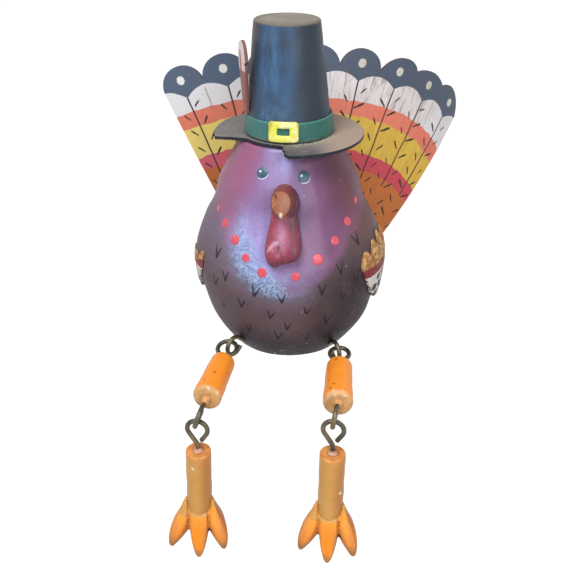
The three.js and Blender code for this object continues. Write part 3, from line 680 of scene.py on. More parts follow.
def grown(name, tree, sizes, crease, place=Matrix(), finish=None, mesh=None):
    """A piece made by a geometry tree, turned into a plain mesh."""
    obj = linked(name, mesh or bpy.data.meshes.new(name))
    modifier = obj.modifiers.new("rule", "NODES")
    modifier.node_group = tree
    for item in tree.interface.items_tree:
        if item.in_out == "INPUT" and item.name in sizes:
            modifier[item.identifier] = float(sizes[item.name])
    if finish:
        finish(obj)
    obj = settled(obj)
    obj.data.transform(Matrix.Scale(MM, 4) @ place @ Matrix.Scale(1 / MM, 4))
    return finish_mesh(obj, None, crease)


# %% Domes on the skin
DOME = {"Height share": 0.14}


def skin_normal(azimuth, height):
    across = on_body(azimuth + 1, height) - on_body(azimuth - 1, height)
    up = on_body(azimuth, height + 1) - on_body(azimuth, height - 1)
    return across.cross(up).normalized()


def dab_points(name, marks):
    """One point for each mark, with its size and its direction kept on it."""
    mesh = bpy.data.meshes.new(name)
    mesh.from_pydata([on_body(a, h) * MM for a, h, _ in marks], [], [])
    for label, kind, field, values in (
            ("size", "FLOAT", "value", [radius * MM for _, _, radius in marks]),
            ("way", "FLOAT_VECTOR", "vector", [v for a, h, _ in marks for v in skin_normal(a, h)])):
        mesh.attributes.new(label, kind, "POINT").data.foreach_set(field, values)
    return mesh


def dab_tree(material):
    tree, points, size = geometry_tree("dabs of thick paint", DOME)
    ball = node(tree, "GeometryNodeMeshIcoSphere", {"Radius": 1, "Subdivisions": 5})
    low = node(tree, "GeometryNodeTransform", {"Geometry": ball.outputs["Mesh"],
                                               "Scale": vector(tree, 1, 1, size["Height share"])})
    wide, way = (node(tree, "GeometryNodeInputNamedAttribute", {"Name": label}, data_type=kind)
                 for label, kind in (("size", "FLOAT"), ("way", "FLOAT_VECTOR")))
    tipped = node(tree, "FunctionNodeAlignRotationToVector", {"Vector": way.outputs["Attribute"]},
                  axis="Z")
    placed = node(tree, "GeometryNodeInstanceOnPoints",
                  {"Points": points, "Instance": low.outputs[0], "Rotation": tipped.outputs[0],
                   "Scale": wide.outputs["Attribute"]})
    return close_tree(tree, placed.outputs[0], material)


# %% Red dots and eyes
def dot_paint():
    f, mottle, weave = brushed_finish("red dots", "d8505e", 0.5, "c23f50", 0.9, 1.2, coat=0.4,
                                      coat_roughness=0.12)
    # Pink patches on the dots are painted highlights.
    f.lay(mottle.rise(0.6, 0.95) * 0.4, "ee8088")
    f.lay((f.x.abs() - 33).rise(0, 2) * 0.55, "93424c")
    return f.done(0.32 + mottle * 0.1, weave, 0.2)


def eye_paint():
    f, _, weave = brushed_finish("eye paint", "3d6079", 0.4, "2f4f66", 0.8, 1, coat=0.2,
                                 coat_roughness=0.15)
    for azimuth, height, _ in EYES:
        centre = on_body(azimuth, height)
        for dx, dz, radius, soft, share, colour in ((0.7, -0.7, 1.5, 0.9, 0.55, "263c4b"),
                                                    (-0.95, 0.75, 0.46, 0.14, 1, "eef3fa")):
            x, z = f.x - (centre.x + dx), f.z - (centre.z + dz)
            spot = (x * x + z * z).sqrt().fall(radius - soft, radius + soft)
            f.lay(spot * share, colour)
    return f.done(0.35, weave, 0.1)


for name, marks, share, paint in (("red_dots", RED_DOTS, 0.14, dot_paint()),
                                  ("painted_eyes", EYES, 0.16, eye_paint())):
    domes = grown(name, dab_tree(paint), {"Height share": share}, 60, mesh=dab_points(name, marks))
    keep(domes, "root", "body_paint")

# %% The white arc below each eye, a stroke that follows the skin
ARC_STEPS, ARC_SWEEP = 16, 128


def arc_skin(azimuth, height, radius):
    sections = []
    for i in range(ARC_STEPS + 1):
        turn = RAD(ARC_SWEEP * (i / ARC_STEPS - 1))
        thin = math.sin(math.pi * (i + 0.4) / (ARC_STEPS + 0.8))
        u, v = radius * math.cos(turn), radius * math.sin(turn)
        z = height + v * 0.88
        centre = on_body(azimuth + math.degrees(u / body_radius(z)), z, 0.02)
        outer = Vector((math.cos(turn), 0, math.sin(turn)))
        sections.append((centre, outer * (0.08 + 0.3 * thin), skin_normal(azimuth, height) * 0.09))
    return loft(sections, 10)


def white_paint():
    f, _, weave = brushed_finish("white strokes", "dcdaf0", 0.5, "b6aed4", 0.7, 1, coat=0.2,
                                 coat_roughness=0.2)
    return f.done(0.4, weave, 0.1)


arcs = joined([arc_skin(azimuth, height, radius + 0.12) for azimuth, height, radius in EYES])
keep(mesh_piece("eye_arcs", *arcs, white_paint(), crease=60), "root", "body_paint")

# %% [markdown]
# ## The face in relief
# The beak is a hooked cone with one knife cut across its front. The snood is a soft egg behind it,
# and the wattle hangs from the snood as two lobes and a fold. Sections joined into a skin suit the
# beak. For the snood and the wattle such skins are remeshed into one and softened, which gives the
# rounded joins of modelled putty.

# %% Beak
FACE_OFFSET = 1.5
BEAK_HEIGHT = BODY_HEIGHT - 15
SNOOD_HEIGHT = BEAK_HEIGHT - 6.4
WATTLE_TOP = BEAK_HEIGHT - 8.5
BEAK_WIDTH, BEAK_REACH, BEAK_DROP, BEAK_SINK = 11.3, 16.9, 8.6, 2.4
BEAK_SHARES = [(0, .28, .8, .7), (.3, .32, .92, .7), (.55, .4, 1, .72), (.75, .54, .9, .75),
               (.88, .72, .66, .8), (.96, .89, .38, .82), (1, 1, .12, .85)]
CUT_WAY = Vector((-0.24, -0.74, 0.63)).normalized()
CUT_DEPTH, NOSTRIL, NOSTRIL_SINK = 2.1, Vector((-2.3, -38.4, 91.7)), 0.7
BEAK_RINGS, BEAK_SIDES = 90, 96


def beak_sections():
    root = body_radius(BEAK_HEIGHT) - BEAK_SINK
    centres = [Vector((skew * FACE_OFFSET, -root - reach * BEAK_REACH,
                       BEAK_HEIGHT - drop * BEAK_DROP)) for reach, drop, _, skew in BEAK_SHARES]
    sections = []
    for i, (_, _, width, _) in enumerate(BEAK_SHARES):
        way = centres[min(i + 1, len(centres) - 1)] - centres[max(i - 1, 0)]
        along = way.normalized().cross(Vector((1, 0, 0)))
        half = width * BEAK_WIDTH / 2
        sections.append((centres[i], Vector((half, 0, 0)), along * half * 0.92))
    return smooth_sections(sections, BEAK_RINGS)


def beside_nostril(x, z):
    """How far a place lies across and along the nostril's leaning slit."""
    x, z = x - NOSTRIL.x, z - NOSTRIL.z
    return x * 0.87 + z * 0.5, z * 0.87 - x * 0.5


def knife_cut(points):
    """Flattens the front to one cut face, sinks the nostril and tells how deep each point is."""
    farthest = max(p.dot(CUT_WAY) for p in points) - CUT_DEPTH
    cut, depths = [], []
    for p in points:
        beyond = p.dot(CUT_WAY) - farthest
        p = p - CUT_WAY * max(beyond, 0) * 0.8
        across, along = beside_nostril(p.x, p.z)
        sunk = NOSTRIL_SINK * math.exp(-(across / 0.5) ** 2 - (along / 1.1) ** 2)
        cut.append(p - CUT_WAY * sunk)
        depths.append(beyond)
    return cut, depths


beak_points, beak_faces = loft(beak_sections(), BEAK_SIDES, 2.15)
beak_points, beak_depths = knife_cut(beak_points)
beak = mesh_piece("beak_carved", beak_points, beak_faces, crease=60)
remember(beak, cut=beak_depths)


def beak_paint():
    f, mottle, weave = brushed_finish("beak paint", "7e3e36", 0.5, "94503c", 1.3, 1.2, coat=0.16,
                                      coat_roughness=0.2)
    cut, = f.attributes("cut")
    # Darker on the beak's right side: painted shade away from the light.
    f.lay(f.x.rise(2, 6) * 0.7, "54262c")
    face = cut.rise(-0.25, 0.05)
    f.lay(face, "a06448")
    f.lay(face * mottle * 0.7, "824830")
    f.lay(face * f.x.rise(-0.2, 3.3) * 0.6, "84452c")
    # A lighter line along the cut's edge: a painted highlight.
    f.lay(cut.window(-0.3, -0.05, 0.1, 0.35) * f.x.rise(0.2, 1.7) * 0.3, "c98a5a")
    f.lay(face * f.cloud(0.5, 2).rise(0.6, 0.7) * 0.5, "c98d52")
    # Lighter at the tip and a small glint: painted highlights.
    f.lay(f.z.fall(83.2, 85.6) * 0.6, "d09a6c")
    f.lay(f.x.near(0.8, 0.3, 1) * f.z.near(85.2, 0.6, 1.7) * 0.7, "f4e4dc")
    across, along = beside_nostril(f.x, f.z)
    u, v = across / 0.55, along / 1.2
    slit = (u * u + v * v).sqrt().fall(0.6, 1.1) * face
    f.lay(slit * 0.9, "45282a")
    return f.done(0.46 + mottle * 0.12, weave * 0.9 + mottle * 0.8, 0.3)


keep(beak, "root", "beak_paint", "beak", paint=beak_paint())

# %% Snood and wattle
SNOOD_WIDTH, SNOOD_LENGTH, SNOOD_DEPTH = 13.4, 16.4, 8.8
SNOOD_RINGS, SNOOD_SIDES, FLESH_RINGS, FLESH_SIDES = 15, 32, 24, 28
WATTLE_LENGTH, WATTLE_WIDTH, WATTLE_THICKNESS = 23.4, 17.4, 6.2
WATTLE_SHARES = [(0, .2, .6, .6), (.25, .2, .76, .76), (.5, .25, .93, .92), (.72, .25, 1, 1),
                 (.9, .25, .74, .78), (1, .2, .34, .36)]
WATTLE_MIDDLE = [(0, .3, .95, .55), (.3, .36, 1, .7), (.55, .4, 1, .76), (.72, .36, .95, .74),
                 (.86, .3, .8, .56), (.93, .25, .45, .3)]
WATTLE_FOLD = [(.42, .3, .3, .25), (.5, .5, .66, .5), (.62, .66, .92, .8), (.78, .62, .96, .88),
               (.9, .44, .7, .64), (.95, .3, .34, .3)]


def snood_skin():
    out = body_radius(SNOOD_HEIGHT) - 0.1 * SNOOD_DEPTH
    sections = []
    for i in range(SNOOD_RINGS):
        turn = math.pi * (i + 0.25) / (SNOOD_RINGS - 0.5)
        reach = math.sin(turn)
        centre = Vector((FACE_OFFSET, -out, SNOOD_HEIGHT + math.cos(turn) * SNOOD_LENGTH / 2))
        sections.append((centre, Vector((reach * SNOOD_WIDTH / 2, 0, 0)),
                         Vector((0, reach * SNOOD_DEPTH, 0))))
    return loft(sections, SNOOD_SIDES)


def flesh_skin(shares, aside, wide, length=WATTLE_LENGTH):
    """One lobe: falls, reach out, width and thickness as shares of the wattle's own sizes."""
    sections = []
    for fall, out, width, thick in shares:
        height = WATTLE_TOP - fall * length
        spread = aside[0] + (aside[1] - aside[0]) * fall
        reach = body_radius(height) + out * WATTLE_THICKNESS
        centre = Vector((FACE_OFFSET + spread * WATTLE_WIDTH, -reach, height))
        sections.append((centre, Vector((width * wide * WATTLE_WIDTH, 0, 0)),
                         Vector((0, thick * WATTLE_THICKNESS * 0.75, 0))))
    return loft(smooth_sections(sections, FLESH_RINGS), FLESH_SIDES)


def flesh_paint():
    f, mottle, weave = brushed_finish("flesh paint", "963d52", 0.5, "7c2c41", 1.5, 1.2, coat=0.14,
                                      coat_roughness=0.2, specular=0.35)
    f.lay(f.z.rise(86, 91) * 0.8, "7c3a3c")
    # Darker on the right of the snood and wattle: painted shade away from the light.
    f.lay(f.x.rise(2.6, 6.6) * 0.8, "682a44")
    f.lay(f.z.rise(74, 80) * f.x.rise(3.2, 5.6) * 0.6, "3c1c2e")
    # A lavender streak down the middle: a painted highlight.
    middle = f.x.near(FACE_OFFSET - 0.3, 0.5, 3.6) * f.z.window(65, 72, 81, 84)
    f.lay(middle * (mottle * 0.6 + 0.1), "c596bd")
    f.lay(f.cloud(0.35, 2).rise(0.56, 0.7) * 0.3, "b5566c")
    f.lay(f.z.fall(62, 68) * 0.65, "691c31")
    # A pale arc above the fold: a painted highlight.
    arc = (f.x + 0.8) * 0.42
    curved = f.z + arc * arc + (mottle - 0.5) * 1.4
    f.lay(curved.near(71.4, 0.3, 1.3) * f.x.window(-6, -4.5, -1, 0.2) * 0.4, "ddbcd6")
    # A dark spot in the fold's notch: painted shade.
    f.lay(f.x.near(-0.3, 0.2, 1) * f.z.near(69.4, 0.5, 2.4) * 0.55, "4a1628")
    return f.done(0.32 + mottle * 0.12, weave * 0.7 + mottle * 0.6, 0.2)


skins = [snood_skin(), flesh_skin(WATTLE_SHARES, (-.13, -.2), .31),
         flesh_skin(WATTLE_SHARES, (.15, .26), .256, 0.89 * WATTLE_LENGTH),
         flesh_skin(WATTLE_MIDDLE, (0, .03), .36), flesh_skin(WATTLE_FOLD, (-.25, -.19), .26)]
flesh = fused("snood_and_wattle", skins, 7, flesh_paint())
keep(flesh, "root", "flesh_paint", "snood", "wattle")

# %% [markdown]
# ## Wings
# Each wing is a thin relief glued to the body's side: a row of gold finger lobes above, a dark red
# band, and white lower feathers with black dashes. The skin is a grid bent round the body, whose
# thickness swells away from its rim and dips between the feathers.

# %% Wing relief
WING_LOBES, WING_TOP, WING_TIP, WING_FRONT, WING_LOBE = 6, 53.8, 26, 51, 5.2
WING_THICKNESS, WING_GAP, WING_FLARE = 1.3, 0.3, 0.11
WING_START, WING_END, WING_MIDDLE, WING_LEVEL, WING_ARC = 52, 120, 86, 45, 0.82
WING_DEEPEST, LOWER_FEATHERS = 0.47, 9
WING_COLUMNS, WING_ROWS = 140, 56


def lower_tips(share):
    """0 between two of the lower feathers and 1 in the middle of one."""
    return abs(math.sin(math.pi * (share * LOWER_FEATHERS + 0.3)))


def wing_edges(share):
    """Lowest and highest points of a wing at a share of its length, front to back."""
    away = (share - WING_DEEPEST) / (1 - WING_DEEPEST if share > WING_DEEPEST else WING_DEEPEST)
    low = WING_TIP + (WING_FRONT - WING_TIP) * abs(away) ** 2.2
    lobe = int(share * WING_LOBES * 0.9999)
    own = 1 + 0.3 * math.sin(lobe * 1.3 - 0.6)
    high = WING_TOP + 5 * min(share, 0.4) - 3 * max(share - 0.45, 0) \
        + WING_LOBE * own * abs(math.sin(math.pi * share * WING_LOBES)) ** 0.9
    return low + 1.3 * lower_tips(share) ** 0.7 * (1 - abs(away)), high


def wing_relief(share, row):
    """The thickness as a share: thin at the rim, and less between the feathers."""
    inside = min(1, 9 * share, 9 - 9 * share) * min(1, 7 * row, 7 - 7 * row)
    groove = abs(math.sin(math.pi * share * WING_LOBES)) ** 0.35 if row > 0.7 else 1
    lower = lower_tips(share) ** 0.3 if row < 0.5 else 1
    band = 0.12 if 0.62 < row < 0.72 else 0
    return (0.3 + 0.7 * math.sqrt(max(inside, 0))) * (0.72 + 0.28 * groove * lower) + band


def wing(name, side, thick, begin, lean, forward, lift, droop):
    """A wing may begin later along its length, lean, sit forward or lower, and droop behind."""
    c, s = math.cos(lean), math.sin(lean)
    rows = [j / WING_ROWS for j in range(WING_ROWS + 1)]
    around = [(1, row) for row in rows] + [(0, row) for row in reversed(rows)]
    points, own = [], []
    for share in (i / WING_COLUMNS for i in range(WING_COLUMNS + 1)):
        worn = begin + (1 - begin) * share
        low, high = wing_edges(worn)
        along = WING_START + (WING_END - WING_START) * worn
        sunk = min(share / 0.28, 1)
        fallen = droop * (0.35 + 0.65 * sunk * sunk * (3 - 2 * sunk))
        for outer, row in around:
            up = low + (high - low) * row
            flare = WING_FLARE * max(WING_LEVEL - up, 0) * min(9 * share, 1, 9 - 9 * share)
            relief = WING_THICKNESS * wing_relief(share, row)
            offset = thick * (WING_GAP + outer * (relief + flare))
            x = (along - WING_MIDDLE) * WING_ARC
            y = up - fallen * max(row - 0.5, 0) * 2 - WING_LEVEL
            azimuth = WING_MIDDLE + (x * c + y * s) / WING_ARC - forward
            points.append(on_body(side * azimuth, WING_LEVEL + y * c + x * s + lift, offset))
            own.append((along, up))
    count = len(around)
    ends = [(a + j, a + j + 1, a + count - 2 - j, a + count - 1 - j)
            for a in (0, WING_COLUMNS * count) for j in range(WING_ROWS)]
    piece = mesh_piece(name, points, bands(WING_COLUMNS + 1, count) + ends, crease=45)
    remember(piece, **dict(zip(("along", "up"), zip(*own))))
    return piece


DASH_PITCH, DASH_ROW = 6.4, 5


def wing_paint():
    f, mottle, weave = brushed_finish("wing paint", "e8e2de", 0.35, "bfb6b0", 1.4, 1.3, coat=0.08,
                                      coat_roughness=0.3, specular=0.3)
    azimuth, up = f.attributes("along", "up")
    edge = azimuth.lookup([(51, 45.4), (62, 45.2), (72, 44.7), (90, 44), (121, 43.6)], 40, 60)
    height = up - edge + (f.cloud(0.35, 2) - 0.5) * 1.6
    row = height / DASH_ROW
    cell = row.floor()
    across = azimuth * WING_ARC + cell * 3.2
    column = across / DASH_PITCH
    chance = chance_of(f.tree, column.floor(), cell)
    u = (column.fract() - 0.5) * DASH_PITCH + (chance - 0.5) * 1.2
    v = (row.fract() - 0.5) * DASH_ROW + (chance - 0.5) * 1.6
    dash = f.use(STROKE, ((v + u * 0.25) * 1.1, (u - v * 0.25) * 0.46), Length=2.5, Width=2.2)
    f.lay((dash * 1.7).between(0, 1) * height.fall(-1.8, -1) * chance.rise(0.05, 0.08), "151312")
    f.lay(height.rise(-0.35, 0.1), "7e1e26")
    gold = height.rise(4.6, 5.2)
    f.lay(gold, "aa7440")
    f.lay(gold * mottle * 0.7, "84502f")
    # Light patches on the gold lobes: painted highlights.
    f.lay(gold * f.cloud(0.4, 2).rise(0.48, 0.6) * 0.8, "dcb478")
    furrow = ((azimuth - 52) / 11.33).fract() - 0.5
    f.lay(gold * furrow.abs().rise(0.34, 0.48) * height.rise(5.5, 9) * 0.7, "6a4a34")
    f.lay(gold * f.chips(2, 0.6) * 0.7, "5f4838")
    return f.done(0.5 + mottle * 0.12, weave * 0.8 + mottle * 0.6, 0.25)


# %% Both wings: the left one is thinner, begins later, leans, sits forward and droops behind
WING_PAINT = wing_paint()
for which, side, *pose in (("left", -1, 0.7, 0.04, -0.1, -2, -1.4, 10.5),
                           ("right", 1, 1, 0, 0, 0, 0, 0)):
    keep(wing(f"wing_relief_{which}", side, *pose), "root", "wing_paint", f"wing_{which}",
         paint=WING_PAINT)

# %% [markdown]
# ## The fan
# The tail is one thin board, sawn to eight scallops, bowed back and glued on with a tilt and a
# twist. Its outline is a rule: in polar form about an apex below the seat, each scallop is the arc
# over its own share of the angle. So Geometry Nodes draw it: a flat grid is mapped to polar form,
# then bowed, and every size has a name on the modifier. The grid also keeps where each point lies,
# counted in feathers and in millimetres from the apex, and the paint reads that.

# %% The fan's sizes
FAN = {"Feathers": 8, "Half angle": RAD(34.2), "Tip radius": 174, "Cusp radius": 164,
       "Root reach": 52, "Bow radius": 149.4, "Tilt": RAD(7.9), "Twist": RAD(12.7),
       "Apex drop": 35.1, "Back": 0}
TAIL_THICKNESS, TAIL_SEAT = 1.6, 1
CUSP_SHARES = [1, 1, 1, 1, 1, 1, 1.035, 1.04, 1]
GRID_COLUMNS, GRID_ROWS = 22 * FAN["Feathers"] + 1, 70
MAP_FEATHERS, MAP_RADIUS = 10, 200
bow, twist = FAN["Bow radius"], FAN["Twist"]
FAN["Back"] = math.sqrt((bow + BODY_RADIUS - TAIL_SEAT) ** 2 - (bow * math.sin(twist)) ** 2) \
    - bow * math.cos(twist)
print("fan stands back by", round(FAN["Back"], 2))


# %% The fan's tree
def fan_tree(material):
    tree, _, size = geometry_tree("fan board", FAN)
    grid = node(tree, "GeometryNodeMeshGrid", {"Size X": 1, "Size Y": 1, "Vertices X": GRID_COLUMNS,
                                               "Vertices Y": GRID_ROWS})
    x, y, _ = parts_of(tree, tree.nodes.new("GeometryNodeInputPosition").outputs[0])
    count = (x + 0.5) * size["Feathers"]
    feather = count.least(size["Feathers"] - 0.0001).floor()
    inside = (1 - ((count - feather) * math.pi).cos()) * 0.5
    step = size["Half angle"] * 2 / size["Feathers"]

    def cusp(index):
        switch = node(tree, "GeometryNodeIndexSwitch", data_type="FLOAT")
        while len(switch.index_switch_items) < len(CUSP_SHARES):
            switch.index_switch_items.new()
        plug(tree, switch.inputs["Index"], index)
        for k, share in enumerate(CUSP_SHARES):
            switch.inputs[k + 1].default_value = float(share)
        return Num(tree, switch.outputs[0]) * size["Cusp radius"]

    low, high = cusp(feather), cusp(feather + 1)
    off = (inside - 0.5) * step
    chord = (low + (high - low) * inside) * (step * 0.5).cos()
    half = size["Cusp radius"] * (step * 0.5).sin()
    rise = size["Tip radius"] - (low + high) * 0.5 * (step * 0.5).cos()
    bulge = (half * half + rise * rise) / (rise * 2)
    beside = half * (inside * 2 - 1)
    arc = (bulge * bulge - beside * beside).most(0).sqrt() - (bulge - rise)
    edge = (chord + arc) / off.cos()
    angle = (feather + inside) * step - size["Half angle"]
    root = size["Root reach"] / angle.cos()
    radius = root + (edge - root) * (y + 0.5)
    flat_x, flat_y = radius * angle.sin(), radius * angle.cos()
    tilt, twist, bow = size["Tilt"], size["Twist"], size["Bow radius"]
    wide = flat_x * tilt.cos() + flat_y * tilt.sin()
    tall = flat_y * tilt.cos() - flat_x * tilt.sin()
    bent_x, bent_y = bow * (wide / bow).sin(), bow - bow * (wide / bow).cos()
    place = vector(tree, (bent_x * twist.cos() - bent_y * twist.sin()) * MM,
                   (bent_x * twist.sin() + bent_y * twist.cos() + size["Back"]) * MM,
                   (tall - size["Apex drop"]) * MM)
    kept = node(tree, "GeometryNodeStoreNamedAttribute",
                {"Geometry": grid.outputs["Mesh"], "Name": "fan"}, data_type="FLOAT2",
                domain="CORNER")
    own = vector(tree, (feather + inside) / MAP_FEATHERS, radius / MAP_RADIUS)
    plug(tree, kept.inputs["Value"], own)
    moved = node(tree, "GeometryNodeSetPosition", {"Geometry": kept.outputs[0], "Position": place})
    return close_tree(tree, moved.outputs[0], material)


# %% [markdown]
# ## The fan's paint
# Slate tips with a white dot, then bands of white, coral, yellow, red and orange, each edge a
# little uneven and falling to the right. Dark quills run down from the tips with short barbs on
# both sides. The white on the right has partly worn to brown wood, and its greyer tone, like the
# darker tips, greyed dots and deeper gold there, is painted shade from the hat and the body. Red
# and yellow are painted lighter on the left, where more light falls. Bands, quills and barbs are
# all formulas of the feather count and the radius.

# %% Fan paint
BARB_PITCH = 9.4


def fan_paint():
    f = Finish("fan paint", coat=0.12, coat_roughness=0.35)
    count, radius, _ = parts_of(f.tree, node(f.tree, "ShaderNodeUVMap", uv_map="fan").outputs[0])
    count, radius = count * MAP_FEATHERS, radius * MAP_RADIUS
    step = 2 * FAN["Half angle"] / FAN["Feathers"]
    inside = count.fract()
    across = (inside - 0.5) * radius * step
    flat = (count * 20, radius)
    wobble = (f.cloud(0.14, 3, place=flat) - 0.5) * 2.6
    grain = f.use(GRAIN, (count * 22, radius * 0.12, f.y * 0.1), Size=2.2)
    mottle, weave = f.brushed(3, place=flat)

    r = radius + wobble

    def beyond(*stops):
        """1 past an edge drawn through (feather, radius) stops."""
        edge = count.lookup(stops, 100, 180)
        return r.rise(edge, edge + 0.5)

    whites = beyond((0, 149.4), (1.8, 149), (3.9, 146.4), (5.5, 146.3), (6.6, 145.3), (7.5, 143.4),
                    (8, 141.2))
    coral = beyond((0, 141.3), (5, 138.3), (7, 136), (8, 131.5))
    yellow = beyond((0, 124.5), (1, 124.1), (4.7, 119.8), (5.9, 118.4), (6.9, 116.3), (8, 112.5))
    red = beyond((0, 117.4), (5.3, 110), (6.2, 109), (6.9, 107.5), (8, 104))
    right = count.rise(2, 5)
    f.start("c9763c")
    f.lay(grain * 0.5, "b8622f")
    f.lay(red, "d2505e")
    f.lay(red * grain * 0.3, "b03a44")
    # Red painted lighter on the left, where more light falls: painted light.
    f.lay(red * count.fall(1, 3.5) * 0.5, "e07888")
    f.lay(yellow, "ecd05e")
    # Deeper gold on the right: grain, and painted shade from the hat and the body.
    f.lay(yellow * (grain * 0.5 + 0.35) * (right * 0.8 + 0.1), "d09a38")
    # Yellow painted lighter on the left: painted light.
    f.lay(yellow * count.fall(0.5, 3) * 0.5, "f4e392")
    f.lay(coral, "e67c66")
    f.lay(coral * grain * 0.35, "ea9a80")
    f.lay(whites, "eceaee")
    # The white on the right is greyer with grain: partly worn paint over wood, partly painted shade
    # from the hat and the body; the brown streaks next are wear.
    f.lay(whites * right * (grain * 0.5 + 0.15), "d2bcb4")
    f.lay(whites * right * grain.rise(0.6, 0.9) * 0.55, "957a70")
    # At the far right, out of that painted shade, the white is bright again.
    f.lay(whites * count.rise(6.6, 7.2) * 0.7, "efedf1")

    arch = (inside * 2 - 1).abs()
    ends = count.fall(0, 0.5) * 2.2 + count.rise(7.5, 8) * 1.6
    tip = 156.8 + (1 - (1 - arch) ** 2) * 4.3 + ends
    tips = (radius + wobble * 0.35).rise(tip, tip + 0.4)
    f.lay(tips, "56647a")
    # Darker tips on the right: painted shade from the hat and the body.
    f.lay(tips * right * 0.7, "484e5a")
    f.lay(tips * mottle * 0.3, "566880")
    dot = f.use(DAB, (across, radius - 166.6), Radius=2.25, Softness=0.25)
    f.lay(dot, "f1f1ee")
    # Greyed dots on the right: painted shade, varied by the brush.
    f.lay(dot * right * (mottle * 0.7 + 0.1), "b9aa98")

    bent = across + (f.cloud(0.05, 1, place=flat) - 0.5) * 1.4
    quill = bent.abs().fall(0.28, 0.62) * radius.window(104, 106, 157.2, 157.8)
    side = across.sign()
    row = (radius + side * 2.2) / BARB_PITCH
    chance = chance_of(f.tree, row.floor(), side, count.floor())
    u = across.abs() - 4.6 - (chance - 0.5) * 1.4
    v = (row.fract() - 0.5) * BARB_PITCH + (chance - 0.5) * 2
    slant = (chance - 0.5) * 0.7 + 0.75
    barb = f.use(STROKE, (u * 0.66 + v * slant, v * 0.66 - u * slant), Length=4.2, Width=0.95)
    marks = quill.most(barb * radius.window(82, 84, 153, 155))
    f.lay(marks, "3a2c2a")
    bent = count - (f.cloud(0.06, 1, place=flat) - 0.5) * 0.12
    f.lay(bent.near(0.98, 0.01, 0.03) * radius.window(146, 150, 158, 161) * 0.6, "8f7f80")
    f.lay(f.chips(3, 0.3, flat) * 0.5, "8f7258")
    back, rim = f.attributes("back_side", "sawn_rim")
    f.lay(back, "6e5340")
    f.lay(back * grain * 0.6, "523b2c")
    f.lay(rim, "4a3a36")
    height = grain * 0.5 + weave * 0.4 + marks * 0.3
    return f.done(0.55 + mottle * 0.12 - tips * 0.08, height, 0.12)


# %% Grow the fan, give it its thickness and mark its back and its rim
def board(obj):
    solid = obj.modifiers.new("board", "SOLIDIFY")
    solid.thickness, solid.offset = TAIL_THICKNESS * MM, -1
    solid.use_even_offset = True


def fan_facing(face):
    """1 on the back, -1 on the front and about 0 on the sawn rim."""
    bend = math.atan2(face.center.x, FAN["Bow radius"] * MM)
    return face.normal.dot(Vector((-math.sin(bend), 1, 0)).normalized())


fan = grown("tail_fan_board", fan_tree(fan_paint()), FAN, 40, finish=board)
facing = [fan_facing(face) for face in fan.data.polygons]
remember(fan, "FACE", back_side=[float(way > 0.5) for way in facing],
         sawn_rim=[float(abs(way) < 0.5) for way in facing])
keep(fan, "root", "tail_paint", "tail_fan")

# %% [markdown]
# ## The hat
# A thin round brim with a piece broken away at the front left, a tapered crown, a painted band, a
# buckle and one small feather. Crown and band are turned. The brim is a flat outline, part circle
# and part ragged break, filled and given its thickness. The buckle is cut flat and wrapped.

# %% Brim
HAT_FLOOR = BODY_HEIGHT + 0.3
BRIM_RADIUS, BRIM_THICKNESS, BRIM_BEVEL, BRIM_STEPS = 35.6, 1.8, 0.35, 260
BREAK_SHARES = [(-.67, -.34), (-.5, -.385), (-.42, -.47), (-.3, -.545), (-.18, -.595),
                (-.07, -.62), (0, -.66), (-.012, -.76), (.04, -.84), (.025, -.92)]
BREAK_START, BREAK_END = (-0.94, -0.335), (0.083, -0.997)


def brim_outline():
    draw = random.Random(5)
    first, last = (math.atan2(y, x) for x, y in (BREAK_END, BREAK_START))
    sweep = (last - first) % (2 * math.pi)
    turns = [first + sweep * i / BRIM_STEPS for i in range(BRIM_STEPS + 1)]
    outline = [Vector((math.cos(turn), math.sin(turn), 0)) for turn in turns]
    ragged = [BREAK_START, *BREAK_SHARES, BREAK_END]
    for (ax, ay), (bx, by) in zip(ragged, ragged[1:]):
        pieces = max(int(math.dist((ax, ay), (bx, by)) / 0.02), 1)
        for i in range(1, pieces + 1):
            share = i / pieces
            jitter = 0.006 if i < pieces else 0
            outline.append(Vector((ax + (bx - ax) * share + draw.uniform(-jitter, jitter),
                                   ay + (by - ay) * share + draw.uniform(-jitter, jitter), 0)))
    return [p * BRIM_RADIUS for p in outline[:-1]]


def brim_piece():
    outline = brim_outline()
    ways = [(b - a).normalized() for a, b in zip(outline[-1:] + outline, outline[1:] + outline[:1])]
    stations = ((0, BRIM_BEVEL), (BRIM_BEVEL, 0), (BRIM_THICKNESS - BRIM_BEVEL, 0),
                (BRIM_THICKNESS, BRIM_BEVEL))
    levels = [[p + Vector((-way.y * inset, way.x * inset, HAT_FLOOR + height))
               for p, way in zip(outline, ways)] for height, inset in stations]
    return slab("hat_brim_board", levels, 30)


